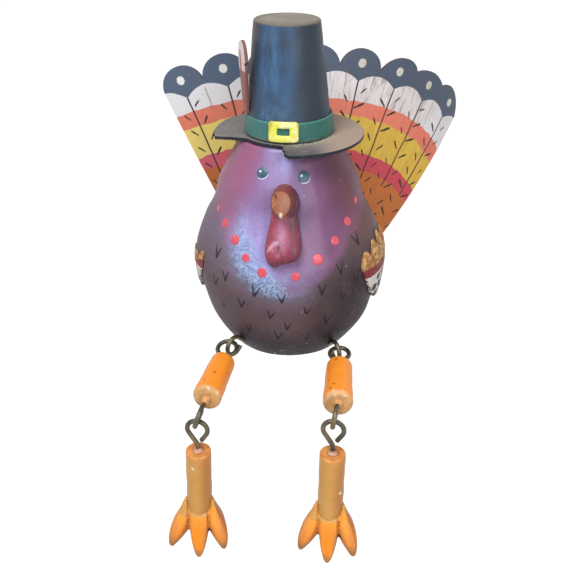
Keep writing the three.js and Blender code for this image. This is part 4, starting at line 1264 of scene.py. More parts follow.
def brim_paint():
    # The brim's taupe is partly dust and partly a painted sheen of light from above on its dark
    # paint; the dark rim is the paint's own colour.
    f, mottle, weave = brushed_finish("brim paint", "7a7574", 0.55, "67605c", 3.2, 1.1)
    fine, _ = f.brushed(0.9)
    reach = f.reach()
    # Lighter to the right and back: painted sheen of the light from above, over dust.
    f.lay((f.x + f.y * 0.3).rise(2, 20) * 0.8, "ad9786")
    f.lay(f.y.fall(-34, -20) * f.x.fall(12, 22) * 0.75, "434147")
    f.lay(fine.rise(0.5, 0.95) * 0.3, "9a938c")
    f.lay(reach.fall(19, 23.5) * (1 - mottle * 0.5) * 0.6, "544e4a")
    f.lay(f.chips(2.6, 0.4) * 0.5, "c0b4a2")
    dusty = reach.window(18, 19.5, 21, 26) * f.y.fall(-10, 0) * f.x.rise(1, 6)
    f.lay(dusty * f.cloud(1, 3).rise(0.44, 0.56) * 0.8, "c4bba6")
    rim = f.z.fall(HAT_FLOOR + BRIM_THICKNESS - 0.35, HAT_FLOOR + BRIM_THICKNESS - 0.1)
    f.lay(rim, "23282c")
    f.lay(rim * fine.rise(0.6, 0.9) * 0.5, "3c4a48")
    return f.done(0.68 + mottle * 0.12, weave * 0.5 + fine * 0.5, 0.2)


keep(brim_piece(), "root", "brim_paint", "hat_brim", paint=brim_paint())

# %% Turns and shifts
def spin(angle, axis):
    return Matrix.Rotation(angle, 4, axis)


def shift(x, y, z):
    return Matrix.Translation((x, y, z))


# %% Crown
UPPER_FLOOR = HAT_FLOOR + BRIM_THICKNESS + 0.3
CROWN_HEIGHT, CROWN_BASE, CROWN_TOP, CROWN_ROUND, CROWN_LEAN = 50.6, 20.5, 15, 0.9, 1
HAT_SIDES, CROWN_STEPS = 120, 40
BAND_HEIGHT, BAND_THICKNESS = 8.8, 0.7
upper = shift(0, 0, UPPER_FLOOR)


def crown_radius(height):
    return CROWN_BASE + (CROWN_TOP - CROWN_BASE) * height / CROWN_HEIGHT


def hand_cut(amount, size):
    """A slow unevenness for a turned piece."""
    def shape(point):
        reach = math.hypot(point.x, point.y)
        if reach < 0.01:
            return point
        wider = 1 + amount * noise.noise(point / size) / reach * min(reach / 8, 1)
        return Vector((point.x * wider, point.y * wider, point.z))
    return shape


def crown_cut(point):
    """The crown is hand cut and leans a little towards the feather."""
    point = hand_cut(0.3, 11)(point)
    return point - Vector((CROWN_LEAN * point.z / CROWN_HEIGHT, 0, 0))


edge_height = CROWN_HEIGHT - CROWN_ROUND
shoulder = crown_radius(edge_height)
crown_side = [(crown_radius(h), h)
              for h in (CROWN_HEIGHT * i / CROWN_STEPS for i in range(CROWN_STEPS))
              if h < edge_height]
crown_edge = [(shoulder - CROWN_ROUND * (1 - math.cos(a)), edge_height + CROWN_ROUND * math.sin(a))
              for a in (RAD(22.5 * i) for i in range(5))]
crown_top = [(share * (shoulder - CROWN_ROUND), CROWN_HEIGHT) for share in (.8, .5, .2, 0)]
crown_profile = [(0, 0), (CROWN_BASE * 0.6, 0), *crown_side, *crown_edge, *crown_top]
crown = turned("hat_crown_turned", crown_profile, HAT_SIDES, upper, crown_cut, 50)


def crown_paint():
    f, mottle, rough = brushed_finish("crown paint", "37434f", 0.5, "2b333e", 4.5, 1.3, coat=0.1,
                                      coat_roughness=0.25, specular=0.25)
    azimuth = f.azimuth()
    streak, weave = f.brushed(1.8, 1.3, (azimuth * 0.55, f.z * 0.3, f.y * 0.02))
    # A painted bluish reflection of a window in the dark paint, left of centre, with brighter
    # painted highlights in streaks.
    blue_sheen = azimuth.near(-14, 14, 48)
    f.lay((blue_sheen * (streak * 0.6 + mottle * 0.8)).between(0, 1) * 0.75, "3f628a")
    f.lay(azimuth.near(-24, 4, 20) * streak.rise(0.3, 0.9) * (mottle * 0.6 + 0.2) * 0.7, "5c86b0")
    low_wear = f.z.fall(UPPER_FLOOR + 12, UPPER_FLOOR + 22) * azimuth.near(-5, 12, 40)
    f.lay(low_wear * mottle.rise(0.4, 0.9) * 0.35, "74889e")
    f.lay(azimuth.near(-74, 10, 26) * mottle * 0.6, "6a4a56")
    # Painted shade on the crown's right side, away from the light.
    f.lay(azimuth.rise(2, 34) * 0.75, "26303e")
    f.lay(f.chips(3.6, 0.2) * 0.5, "8a96a2")
    top = UPPER_FLOOR + CROWN_HEIGHT
    worn = (f.z + (rough - 0.5) * 1.4).rise(top - 1.2, top - 0.5)
    f.lay(worn, "6e675e")
    # The top face's taupe is dust and a painted sheen of light from above.
    cap = f.z.rise(top - 0.25, top - 0.05)
    f.lay(cap, "7f776a")
    f.lay(cap * mottle.rise(0.5, 0.9) * 0.7, "988d82")
    f.lay(cap * f.reach().rise(11, 13.8) * 0.6, "6b6256")
    return f.done(0.45 + worn * 0.25 + mottle * 0.1, weave * 0.5 + rough * 0.6, 0.3)


keep(crown, "root", "crown_paint", "hat_crown", paint=crown_paint())


# %% Band
BAND_LOW, BAND_BEVEL, BAND_STEPS = 0.3, 0.25, 10
BAND_OUT = BAND_THICKNESS + 0.15


def band_profile():
    low, high = BAND_LOW, BAND_LOW + BAND_HEIGHT
    rise = [low + BAND_BEVEL + (BAND_HEIGHT - 2 * BAND_BEVEL) * i / BAND_STEPS
            for i in range(BAND_STEPS, -1, -1)]
    inside, edge = 0.25, BAND_OUT - BAND_BEVEL
    stations = [(inside, low), (inside, high), (edge, high), *((BAND_OUT, h) for h in rise),
                (edge, low)]
    return [(crown_radius(h) + out, h) for out, h in stations]


band = ring_of("hat_band_strip", band_profile(), HAT_SIDES, upper, hand_cut(0.3, 11))


def band_paint():
    f = Finish("band paint", coat=0.15, coat_roughness=0.3)
    mottle, weave = f.brushed(2, 1.2, (f.x, f.y, f.z * 1.8))
    f.start("2f6a60")
    f.lay(mottle * 0.6, "24504a")
    f.lay(f.x.fall(-14, -2) * (mottle * 0.4 + 0.2), "57868c")
    f.lay(f.chips(1.6, 0.35) * 0.6, "8aa39a")
    low = (f.z + (mottle - 0.5) * 1.5).fall(UPPER_FLOOR + 0.6, UPPER_FLOOR + 1.8)
    f.lay(low * 0.6, "6c7268")
    high = UPPER_FLOOR + BAND_HEIGHT
    # Lighter green along the band's upper edge: a painted highlight.
    f.lay((f.z + mottle - 0.5).rise(high - 0.6, high + 0.3) * 0.5, "4f8a7c")
    return f.done(0.5 + mottle * 0.1, weave, 0.2)


keep(band, "root", "band_paint", "hat_band", paint=band_paint())

# %% Buckle
BUCKLE_WIDTH, BUCKLE_HEIGHT, BUCKLE_THICKNESS = 13.2, 9.2, 0.9
OPENING_WIDTH, OPENING_HEIGHT = 5.4, 3.2
BUCKLE_RISE, BUCKLE_ASIDE, BUCKLE_SIDES = 0.7, 0.6, 96
BUCKLE_SHARES = [(0, 0), (0, .7), (.06, .95), (.2, 1.08), (.5, 1.14), (.8, 1.08), (.94, .95),
                 (1, .7), (1, 0)]


def rounded(width, height, corner, steps=6):
    """A rounded rectangle, started at the middle of its lower side."""
    x, y = width / 2 - corner, height / 2 - corner
    outline = []
    for cx, cy, first in ((x, -y, -90), (x, y, 0), (-x, y, 90), (-x, -y, 180)):
        for i in range(steps + 1):
            a = RAD(first + 90 * i / steps)
            outline.append((cx + corner * math.cos(a), cy + corner * math.sin(a)))
    return outline


def even_outline(outline, count):
    lengths = [math.dist(a, b) for a, b in zip(outline, outline[1:] + outline[:1])]
    total, result, walked, k = sum(lengths), [], 0, 0
    for i in range(count):
        want = total * i / count
        while walked + lengths[k] < want:
            walked += lengths[k]
            k += 1
        a, b = outline[k], outline[(k + 1) % len(outline)]
        t = (want - walked) / lengths[k] if lengths[k] else 0
        result.append((a[0] + (b[0] - a[0]) * t, a[1] + (b[1] - a[1]) * t))
    return result


def buckle_piece():
    outer = even_outline(rounded(BUCKLE_WIDTH, BUCKLE_HEIGHT, 1.5), BUCKLE_SIDES)
    inner = even_outline(rounded(OPENING_WIDTH, OPENING_HEIGHT, 0.5), BUCKLE_SIDES)
    turns = [2 * math.pi * i / BUCKLE_SIDES for i in range(BUCKLE_SIDES)]
    waves = [noise.noise(Vector((math.cos(a) * 2, math.sin(a) * 2, 4))) * 0.25 for a in turns]
    points = []
    for share, lift in BUCKLE_SHARES:
        for (ox, oy), (nx, ny), wave in zip(outer, inner, waves):
            x = (ox + (nx - ox) * share) * (1 + wave * 0.1)
            y = (oy + (ny - oy) * share) * (1 + wave * 0.12)
            height = BUCKLE_RISE + BUCKLE_HEIGHT / 2 + y
            reach = crown_radius(height) + BAND_OUT + lift * BUCKLE_THICKNESS
            angle = (x - BUCKLE_ASIDE) / crown_radius(height)
            points.append(upper @ outward(angle, reach, height))
    faces = bands(len(BUCKLE_SHARES), BUCKLE_SIDES, closed=True)
    return mesh_piece("hat_buckle_plate", points, faces, crease=50)


def buckle_paint():
    f, mottle, weave = brushed_finish("buckle paint", "e8e560", 0.4, "d9cf4c", 1.1, 1.2, coat=0.3,
                                      coat_roughness=0.2)
    # Near-white patches are painted highlights.
    f.lay(mottle.rise(0.5, 0.85) * 0.7, "f8f7cc")
    f.lay(f.chips(1.3, 0.45) * 0.7, "8f7f38")
    # Darker olive on the parts that lie back nearest the band: painted shade.
    f.lay(f.y.rise(-20.9, -20.4) * 0.5, "7a6a30")
    return f.done(0.38 + mottle * 0.1, weave * 0.7 + mottle * 0.3, 0.22)


keep(buckle_piece(), "root", "buckle_paint", "hat_buckle", paint=buckle_paint())

# %% Hat feather
FEATHER_LENGTH, FEATHER_WIDTH, FEATHER_THICKNESS, FEATHER_TURN = 32, 10.5, 1.7, 25
FEATHER_AZIMUTH, FEATHER_FOOT, FEATHER_TILT, FEATHER_STEPS = RAD(-66), BAND_HEIGHT + 1.8, -2, 104
FEATHER_LEVELS = [(0, .93), (.25, 1), (.75, 1), (1, .93), (1.08, .6), (1.14, .25)]
FEATHER_SHARES = [(.2, 0), (.3, .3), (.48, .66), (.46, .84), (.28, .96), (0, 1), (-.28, .96),
                  (-.46, .84), (-.5, .77), (-.5, .72), (-.33, .68), (-.43, .65), (-.3, .35),
                  (-.2, 0)]


def feather_piece():
    stations = [(x * FEATHER_WIDTH, y * FEATHER_LENGTH, 0) for x, y in FEATHER_SHARES]
    corners = through(stations, FEATHER_STEPS)
    foot = outward(FEATHER_AZIMUTH, crown_radius(FEATHER_FOOT) + 0.5, FEATHER_FOOT)
    place = upper @ shift(*foot) @ spin(RAD(FEATHER_TURN), "Z") @ spin(RAD(FEATHER_TILT), "Y")
    levels = [[place @ Vector((-rise * FEATHER_THICKNESS, p.x * share, max(p.y, 0)))
               for p in corners] for rise, share in FEATHER_LEVELS]
    piece = slab("hat_feather_slip", levels, 40)
    remember(piece, raised=[rise for rise, _ in FEATHER_LEVELS for _ in corners])
    return piece


def feather_paint():
    f, mottle, weave = brushed_finish("feather paint", "80544e", 0.5, "644044", 1.2, 1.1,
                                      coat=0.15, coat_roughness=0.3)
    outer = f.attributes("raised")[0].rise(0.9, 1)
    high = (f.z + (mottle - 0.5) * 1.5).rise(UPPER_FLOOR + 29, UPPER_FLOOR + 30)
    f.lay(outer * high, "e9e4e2")
    aside = (f.y + 8.4 + (mottle - 0.5) * 0.8).abs()
    f.lay(aside.fall(0.6, 1.3) * outer * high * f.z.fall(UPPER_FLOOR + 37, UPPER_FLOOR + 39),
          "b8353a")
    barbs = (f.z * 0.55 + aside * 0.8).fract().near(0.5, 0.08, 0.16) * outer
    f.lay(barbs * aside.rise(1, 1.8) * high * 0.3, "a08a86")
    f.lay(outer * (1 - high) * 0.5, "a4685c")
    return f.done(0.5 + mottle * 0.1, weave * 0.6 + mottle * 0.4, 0.2)


keep(feather_piece(), "root", "feather_paint", "hat_feather", paint=feather_paint())

# %% [markdown]
# ## Screw eyes
# Eight screw eyes, each bent from one wire, link the body, the thighs and the shins. All follow
# one path: up the shank, out along a straight, round the loop and back to just short of the neck.
# A geometry tree walks that path by the length of wire used so far, with the loop, neck and wire
# as named inputs, and sweeps a circle along it.

# %% The wire's path as a rule
EYE = {"Wire radius": 1.12, "Loop radius": 4.75, "Neck reach": 6.9, "Shank": 14, "End gap": 0.4}


def eye_tree(material):
    tree, _, size = geometry_tree("screw eye", EYE)
    line = node(tree, "GeometryNodeCurvePrimitiveLine")
    fine = node(tree, "GeometryNodeResampleCurve", {"Curve": line.outputs[0], "Count": 150})
    share = Num(tree, tree.nodes.new("GeometryNodeSplineParameter").outputs["Factor"])
    loop, neck, shank, wire = (size[k]
                               for k in ("Loop radius", "Neck reach", "Shank", "Wire radius"))
    lean = (loop / neck).arccos()
    straight = neck * lean.sin()
    around = loop * (2 * math.pi - lean * 2)
    stop = (wire * 2 + size["End gap"]) / (loop * lean.sin() * 2) * neck
    back = (straight - stop).most(0)
    used = share * (shank + straight + around + back)
    up = used.least(shank)
    out = (used - shank).between(0, straight)
    turn = lean + (used - shank - straight).between(0, around) / loop
    home = (used - shank - straight - around).most(0)
    x = loop * lean.sin() - loop * turn.sin() - (out + home) * lean.cos()
    z = up - neck - shank + (out - home) * lean.sin() + loop * lean.cos() - loop * turn.cos()
    spot = vector(tree, x * MM, 0, z * MM)
    path = node(tree, "GeometryNodeSetPosition", {"Geometry": fine.outputs[0], "Position": spot})
    soft = node(tree, "GeometryNodeBlurAttribute", {"Iterations": 5}, data_type="FLOAT_VECTOR")
    wanted, eased = ([s for s in sockets if s.name == "Value" and s.enabled][0]
                     for sockets in (soft.inputs, soft.outputs))
    plug(tree, wanted, tree.nodes.new("GeometryNodeInputPosition").outputs[0])
    path = node(tree, "GeometryNodeSetPosition", {"Geometry": path.outputs[0], "Position": eased})
    circle = node(tree, "GeometryNodeCurvePrimitiveCircle", {"Resolution": 16, "Radius": wire * MM})
    tube = node(tree, "GeometryNodeCurveToMesh", {"Curve": path.outputs[0], "Fill Caps": True,
                                                  "Profile Curve": circle.outputs[0]})
    return close_tree(tree, tube.outputs[0], material)


def wire_metal():
    f, mottle, weave = brushed_finish("eye wire", "6c685a", 0.8, "38352c", 0.9, 1.2, metal=0.85)
    broad, _ = f.brushed(4, 1.4)
    f.lay(broad.rise(0.45, 0.9) * 0.7, "8a7450")
    f.lay(f.chips(1.4, 0.4) * 0.7, "3a2c22")
    return f.done(0.34 + mottle * 0.16, weave * 0.6 + mottle * 0.4, 0.12)


EYE_TREE = eye_tree(wire_metal())


# %% [markdown]
# ## Legs
# The thighs lie forward and the shins hang from them, each a length of dowel with worn, rounded
# ends, painted orange or left tan. The places come from the same chain that the joints use: out
# from the body to the hip, along the thigh, down through the knee. Each frame below is one step of
# it.

# %% The chain of frames for one leg
LEGS = {"left": {"hip angle": RAD(-34.6), "hip height": 9.9, "eye facing": RAD(-34),
                 "hip radius": 6, "knee radius": 6.7, "thigh facing": RAD(-38), "thigh neck": 0.8,
                 "knee neck": 2.9, "knee turn": RAD(-5), "knee roll": RAD(18), "knee dip": RAD(20),
                 "shin radius": 5.9, "shin length": 36.5, "shin neck": 3.3, "shin lean": RAD(1.8),
                 "splay": RAD(-4.8), "foot turn": RAD(3)},
        "right": {"hip angle": RAD(39.2), "hip height": 8, "eye facing": RAD(28),
                  "hip radius": 6.25, "knee radius": 6.9, "thigh facing": RAD(28),
                  "thigh neck": 1.5, "knee neck": 1.5, "knee turn": RAD(-6), "knee roll": RAD(7.5),
                  "knee dip": RAD(3), "shin radius": 6, "shin length": 37.6, "shin neck": 4.5,
                  "shin lean": RAD(0.3), "splay": RAD(1.2), "foot turn": RAD(-3.5)}}
HIP_RISE, EYE_STANDOFF, THIGH_LENGTH, LEG_SHANK, SHIN_NECK_REACH = 1.6, 7, 31.2, 9, 8.9
KNEE_HANG, KNEE_PLAY = RAD(50), 0.4
LOOP, WIRE, NECK = EYE["Loop radius"], EYE["Wire radius"], EYE["Neck reach"]
UPRIGHT = spin(RAD(90), "Y") @ spin(RAD(90), "X")


def leg_frames(leg):
    eye_height = leg["hip height"] - HIP_RISE
    reach = body_radius(eye_height) + EYE_STANDOFF
    ring, hip = (outward(leg["hip angle"], reach, height)
                 for height in (eye_height, leg["hip height"]))
    frames = {"body": shift(*ring) @ spin(leg["eye facing"], "Z") @ UPRIGHT}
    base = shift(*hip) @ spin(leg["splay"], "Z")
    out = leg["thigh neck"] + NECK
    hang = Vector((0, out, 0)) - outward(leg["thigh facing"] - leg["splay"], LOOP)
    lift = spin(math.asin((leg["hip height"] - leg["knee radius"]) / hang.y), "X")
    end = -(lift @ hang)
    forward = spin(RAD(-90), "X")
    frames["thigh_top"] = base @ shift(*end) @ lift @ shift(0, out, 0) @ forward
    frames["thigh"] = base @ shift(*end) @ forward
    askew = spin(leg["knee turn"] - leg["splay"], "Z")
    knee_out = leg["knee neck"] + NECK
    knee = shift(end.x, end.y - THIGH_LENGTH, end.z) @ askew @ spin(leg["knee roll"], "Y") \
        @ spin(leg["knee dip"], "X")
    frames["thigh_bottom"] = base @ knee @ shift(0, -knee_out, 0) @ UPRIGHT
    dip, drop = KNEE_HANG - leg["knee dip"], LOOP - 2 * WIRE - KNEE_PLAY
    point = knee @ Vector((0, -knee_out - drop * math.cos(dip), -drop * math.sin(dip)))
    lower = base @ shift(*point) @ askew @ spin(leg["shin lean"], "Y")
    top = LOOP + SHIN_NECK_REACH + leg["shin neck"]
    frames["shin"] = lower @ shift(0, 0, -LOOP)
    frames["shin_wood"] = lower @ shift(0, 0, -top)
    frames["foot"] = lower @ shift(0, 0, -top - leg["shin length"]) \
        @ spin(leg["foot turn"] - leg["knee turn"], "Z")
    return frames


# %% Dowels with rounded rims, which remember how far down and how far out each point is
DOWEL_SIDES, DOWEL_STEPS, DOWEL_UNEVEN = 72, 26, 0.3
THIGH_RIMS, SHIN_RIMS = (2.4, 1.9), (0.9, 0.5)


def dowel_rim(radius, rim, height, way):
    return [(radius - rim * (1 - math.sin(a)), height - way * rim * (1 - math.cos(a)))
            for a in (RAD(18 * i) for i in range(6))]


def dowel_shape(point):
    reach = max(math.hypot(point.x, point.y), 0.1)
    return point + Vector((point.x, point.y, 0)) / reach * DOWEL_UNEVEN * noise.noise(point / 7)


def dowel(name, length, radii, rims, place):
    top = dowel_rim(radii[0], rims[0], 0, 1)
    bottom = dowel_rim(radii[1], rims[1], -length, -1)[::-1]
    (r0, h0), (r1, h1) = top[-1], bottom[0]
    middle = [(r0 + (r1 - r0) * i / DOWEL_STEPS, h0 + (h1 - h0) * i / DOWEL_STEPS)
              for i in range(1, DOWEL_STEPS)]
    first = [(share * top[0][0], 0) for share in (0, .25, .5, .75)]
    last = [(share * bottom[-1][0], -length) for share in (.75, .5, .25, 0)]
    outline = first + top + middle + bottom + last
    piece = turned(name, outline, DOWEL_SIDES, place, dowel_shape, 60)
    rings, sides = outline[1:-1], range(DOWEL_SIDES)
    remember(piece, down=[-h for _, h in rings for _ in sides] + [0, length],
             out=[r for r, _ in rings for _ in sides] + [0, 0],
             side=[math.sin(2 * math.pi * k / DOWEL_SIDES) for _ in rings for k in sides] + [0, 0])
    return piece


# %% Leg paints
def orange_paint(length):
    f, mottle, weave = brushed_finish("thigh paint", "f9962e", 0.45, "f58a28", 2.2, 1, coat=0.2,
                                      coat_roughness=0.3)
    down, out = f.attributes("down", "out")
    pits = f.chips(3.4, 0.42)
    f.lay(mottle.rise(0.6, 0.95) * 0.35, "ffb057")
    f.lay(pits * 0.85, "7a4a22")
    ended = (down + (f.cloud(0.4, 3) - 0.5) * 2.4).rise(length - 2, length - 1.1)
    f.lay(ended, "deac74")
    f.lay(ended * f.use(GRAIN, Size=2) * 0.4, "c68c54")
    f.lay(ended * f.cloud(0.25, 2).rise(0.5, 0.62) * 0.45, "b0845c")
    rim = (down - length + 1).abs().fall(0.7, 1.5) * out.rise(4.2, 5.2)
    f.lay(rim * f.chips(2.6, 1) * 0.5, "f6ecd2")
    f.lay(ended * out.fall(1.5, 2.6) * 0.6, "8a5628")
    f.lay(down.fall(0.4, 1.2) * out.fall(1.8, 3.4) * 0.8, "5e3a22")
    near = down.fall(1.5, 5) * f.chips(2.2, 0.75)
    f.lay(near * 0.8, "5b3a1c")
    height = weave * 0.5 + mottle * 0.3 - pits * 0.8 - near * 0.6
    return f.done(0.46 + mottle * 0.1 + ended * 0.12, height, 0.2)


def tan_paint():
    f = Finish("shin paint", coat=0.2, coat_roughness=0.3)
    down, out, side = f.attributes("down", "out", "side")
    mottle, weave = f.brushed(2.6)
    rings = f.cloud(1, 3, place=(f.x * 0.12, f.y * 0.12, f.z * 0.8))
    f.start("dca558")
    # Darker brown on one side of the shin: painted shade on the side away from the light.
    f.lay(side.rise(0, 0.95) * 0.75, "aa642a")
    f.lay(mottle * 0.5, "c98d46")
    f.lay(rings.rise(0.56, 0.7) * 0.4, "b97f45")
    f.lay(down.fall(0.8, 7) * (mottle * 0.4 + 0.2), "e0944a")
    top = down.fall(0.3, 1.1)
    f.lay(top * 0.7, "dd9450")
    f.lay(top * f.cloud(0.3, 2).rise(0.45, 0.6) * 0.5, "b8683a")
    f.lay(down.fall(0.2, 0.5) * out.fall(2.2, 3.4) * 0.8, "8a5230")
    f.lay(f.chips(2.4, 0.3) * 0.6, "9a6238")
    for sign, at_side, at_down, lean in ((-1, -0.17, 6.5, 0.5), (1, 0.8, 20.4, -1.4)):
        x, y = (side - at_side) * 6, down - at_down
        spot = (x + y * 0.5 * sign, (y + x * lean) * 0.7)
        chip = f.use(DAB, spot, Radius=0.75, Softness=0.2) * side.abs().fall(0.85, 0.95)
        f.lay(chip * (f.x * sign).rise(-1, 1), "f4e2c4")
    return f.done(0.44 + mottle * 0.12, weave * 0.5 + mottle * 0.3, 0.16)


# %% Thick paint and glue round the wires
def thick_paint(name, first, second):
    f = Finish(name, coat=0.3, coat_roughness=0.2)
    mottle, weave = f.brushed(0.8, 1.2)
    f.start(first)
    f.lay(mottle * 0.6, second)
    return f.done(0.4 + mottle * 0.1, weave + mottle * 0.5, 0.2)


def uneven_skirt(point):
    aside = Vector((point.x, point.y, 0)) * 0.16 * noise.noise(point * 0.9)
    return point + aside + Vector((0, 0, 0.3 * noise.noise(point * 0.5)))


def collar(name, place, foot, rise, wide, material):
    """A small skirt of paint that climbs the wire from the wood's end."""
    low, core = -foot, WIRE - 0.2
    climb = [i / 10 for i in range(10, -1, -1)]
    outside = [(WIRE + 0.12 + (wide - WIRE) * (1 - share) ** 2.2, low + rise * share)
               for share in climb]
    profile = [(core, low + rise), *outside, (wide, low - 0.25), (core, low - 0.25)]
    return ring_of(name, profile, 40, place, uneven_skirt, material, 60)


THIGH_SKIRT = thick_paint("paint on the wire", "d39a58", "b27a40")
SHIN_GLUE = thick_paint("glue on the wire", "cfa28c", "a06a4c")

# %% [markdown]
# ## Feet
# Three toes are whittled round the end of each shin: flat-sided, pointed, and grown together at
# the root. Each toe is a skin over boxy sections. The three are remeshed into one so that the webs
# between them form by themselves, with few passes of softening, to keep the knife's edges.

# %% Toes of one foot
TOE_WIDTH, TOE_DEPTH, TOE_REACH, TOE_SPREAD = 8.6, 9.4, 10.4, 12.4
TOE_TURN, TOE_TAPER, TOE_STEPS, TOE_SIDES = RAD(28), 0.2, 24, 40
MIDDLE_LENGTH, SIDE_LENGTH, SIDE_RISE = 21.5, 23.1, 7.5
WEB = [(3, 1, 5.5, 3.5), (0, 1.5, 7, 4), (-4, 2.5, 8, 3.8), (-7.5, 3.6, 7.5, 2.8),
       (-9.5, 4.4, 6, 1.6)]
WEB_STEPS, WEB_SIDES = 16, 32
MIDDLE_TOE = [(-.1, .1, 0, .96, .8), (0, .19, 0, 1.1, .96), (.3, .29, .01, 1.12, 1),
              (.65, .58, .02, .86, .82), (.9, .88, .03, .47, .46), (1, 1.02, .03, .14, .14)]
SIDE_TOE = [(0, .03, .46, .19, .5), (.26, .08, .5, .64, .87), (.5, .25, .64, .98, 1.04),
            (.75, .57, .82, .84, .95), (.93, .86, .96, .42, .5), (1, .96, 1, .1, .12)]


def toe_skin(shares, side, length, rise):
    """A middle toe has no rise. A side toe is turned, and narrower behind than in front."""
    turn, taper = (side * TOE_TURN, TOE_TAPER) if rise else (0, 0)
    across = Vector((math.cos(turn), math.sin(turn), 0))
    back = Vector((-math.sin(turn), math.cos(turn), 0))
    sections = [(Vector((side * out * TOE_SPREAD, -reach * TOE_REACH, rise - fall * length)),
                 across * width * TOE_WIDTH / 2, back * depth * TOE_DEPTH / 2)
                for fall, reach, out, width, depth in shares]
    sections = smooth_sections(sections, TOE_STEPS)
    points, faces = loft(sections, TOE_SIDES, 3.6)
    for k, p in enumerate(points):
        centre, _, deep = sections[min(k // TOE_SIDES, TOE_STEPS)]
        behind = (p - centre).dot(back) / max(deep.length, 0.1)
        points[k] = p + across * (p - centre).dot(across) * taper * behind
    return points, faces


def web_skin():
    """The wood left between the toes' roots."""
    sections = [(Vector((0, -out, height)), Vector((wide, 0, 0)), Vector((0, deep, 0)))
                for height, out, wide, deep in WEB]
    return loft(smooth_sections(sections, WEB_STEPS), WEB_SIDES, 2.2)


def foot_paint():
    f, mottle, weave = brushed_finish("foot paint", "fa9322", 0.45, "ef8418", 2, 1.1, coat=0.2,
                                      coat_roughness=0.3)
    down, across, front, aside = f.attributes("down", "across", "front", "aside")
    wave = (f.cloud(0.35, 2) - 0.5) * 2
    f.lay(mottle.rise(0.6, 0.95) * 0.4, "ffae4e")
    # Lighter at the top of each toe: a painted highlight where the toes face the light.
    f.lay((down + wave).fall(1, 9) * 0.45, "ffb14a")
    flank = front.fall(0.62, 0.86)
    # Side faces painted by their facing: tan where they turn towards the light, dark brown where
    # they turn away; painted light and shade.
    f.lay(flank * aside.fall(-0.5, 0) * 0.75, "d2955a")
    f.lay(flank * aside.rise(0, 0.5) * 0.85, "a05c2c")
    f.lay((down + wave).rise(12.5, 19.5) * flank.rise(0, 0.6) * 0.7, "8c6238")
    beside = across.abs().rise(4.5, 6)
    f.lay((down + wave * 1.5).rise(0, 11) * beside * 0.75, "cc803a")
    f.lay((down + wave * 1.5).rise(9, 13) * beside * 0.8, "96663c")
    f.lay((across - 1 + wave * 0.3).rise(0.3, 2.4) * (1 - beside) * down.rise(2, 10) * 0.7,
          "c48444")
    f.lay((down + wave * 1.5).rise(15.5, 19) * 0.8, "a87444")
    begin = across.lookup([(-14, -1.5), (-6, 0.5), (-4.2, -0.4), (4.2, -0.4), (6, -4.5), (14, -7)],
                          -8, 2)
    rooted = down + wave * 0.6 - begin
    root = rooted.fall(-0.1, 0.5)
    f.lay(root, "d9a055")
    f.lay(root * mottle * 0.5, "c08645")
    # The root is darker where it faces away from the light: painted shade.
    f.lay(root * aside.rise(0.2, 0.8) * 0.6, "a4652e")
    f.lay(rooted.abs().fall(0.05, 0.4) * across.abs().fall(3.8, 4.6) * 0.25, "e8b070")
    edge = (across.abs() - 5 - wave * 0.2).abs().fall(0.1, 0.5) * down.window(-1, 1, 8, 11)
    f.lay(edge * 0.4, "a8642c")
    pits = edge.rise(0.1, 0.6) * f.cloud(0.6, 2).rise(0.5, 0.58)
    f.lay(pits * 0.6, "4a2412")
    # A dark spot between the middle and a side toe: painted shadow in the gap.
    gap_shadow = f.use(DAB, (across - 5.4, (down - 8.4) * 0.6), Radius=0.95, Softness=0.3)
    f.lay(gap_shadow * 0.9, "3a1a10")
    f.lay(f.chips(2.4, 0.3) * 0.5, "8a5a30")
    return f.done(0.44 + mottle * 0.12, weave * 0.6 + mottle * 0.5 - edge - gap_shadow, 0.22)


def mark_points(piece, place):
    """Keeps each point's fall below the shin, its place across, and its facing front and aside."""
    back = place.inverted()
    spots = [back @ (vertex.co / MM) for vertex in piece.data.vertices]
    ways = [back.to_3x3() @ vertex.normal for vertex in piece.data.vertices]
    remember(piece, down=[-p.z for p in spots], across=[p.x for p in spots],
             front=[-way.y for way in ways], aside=[way.x for way in ways])


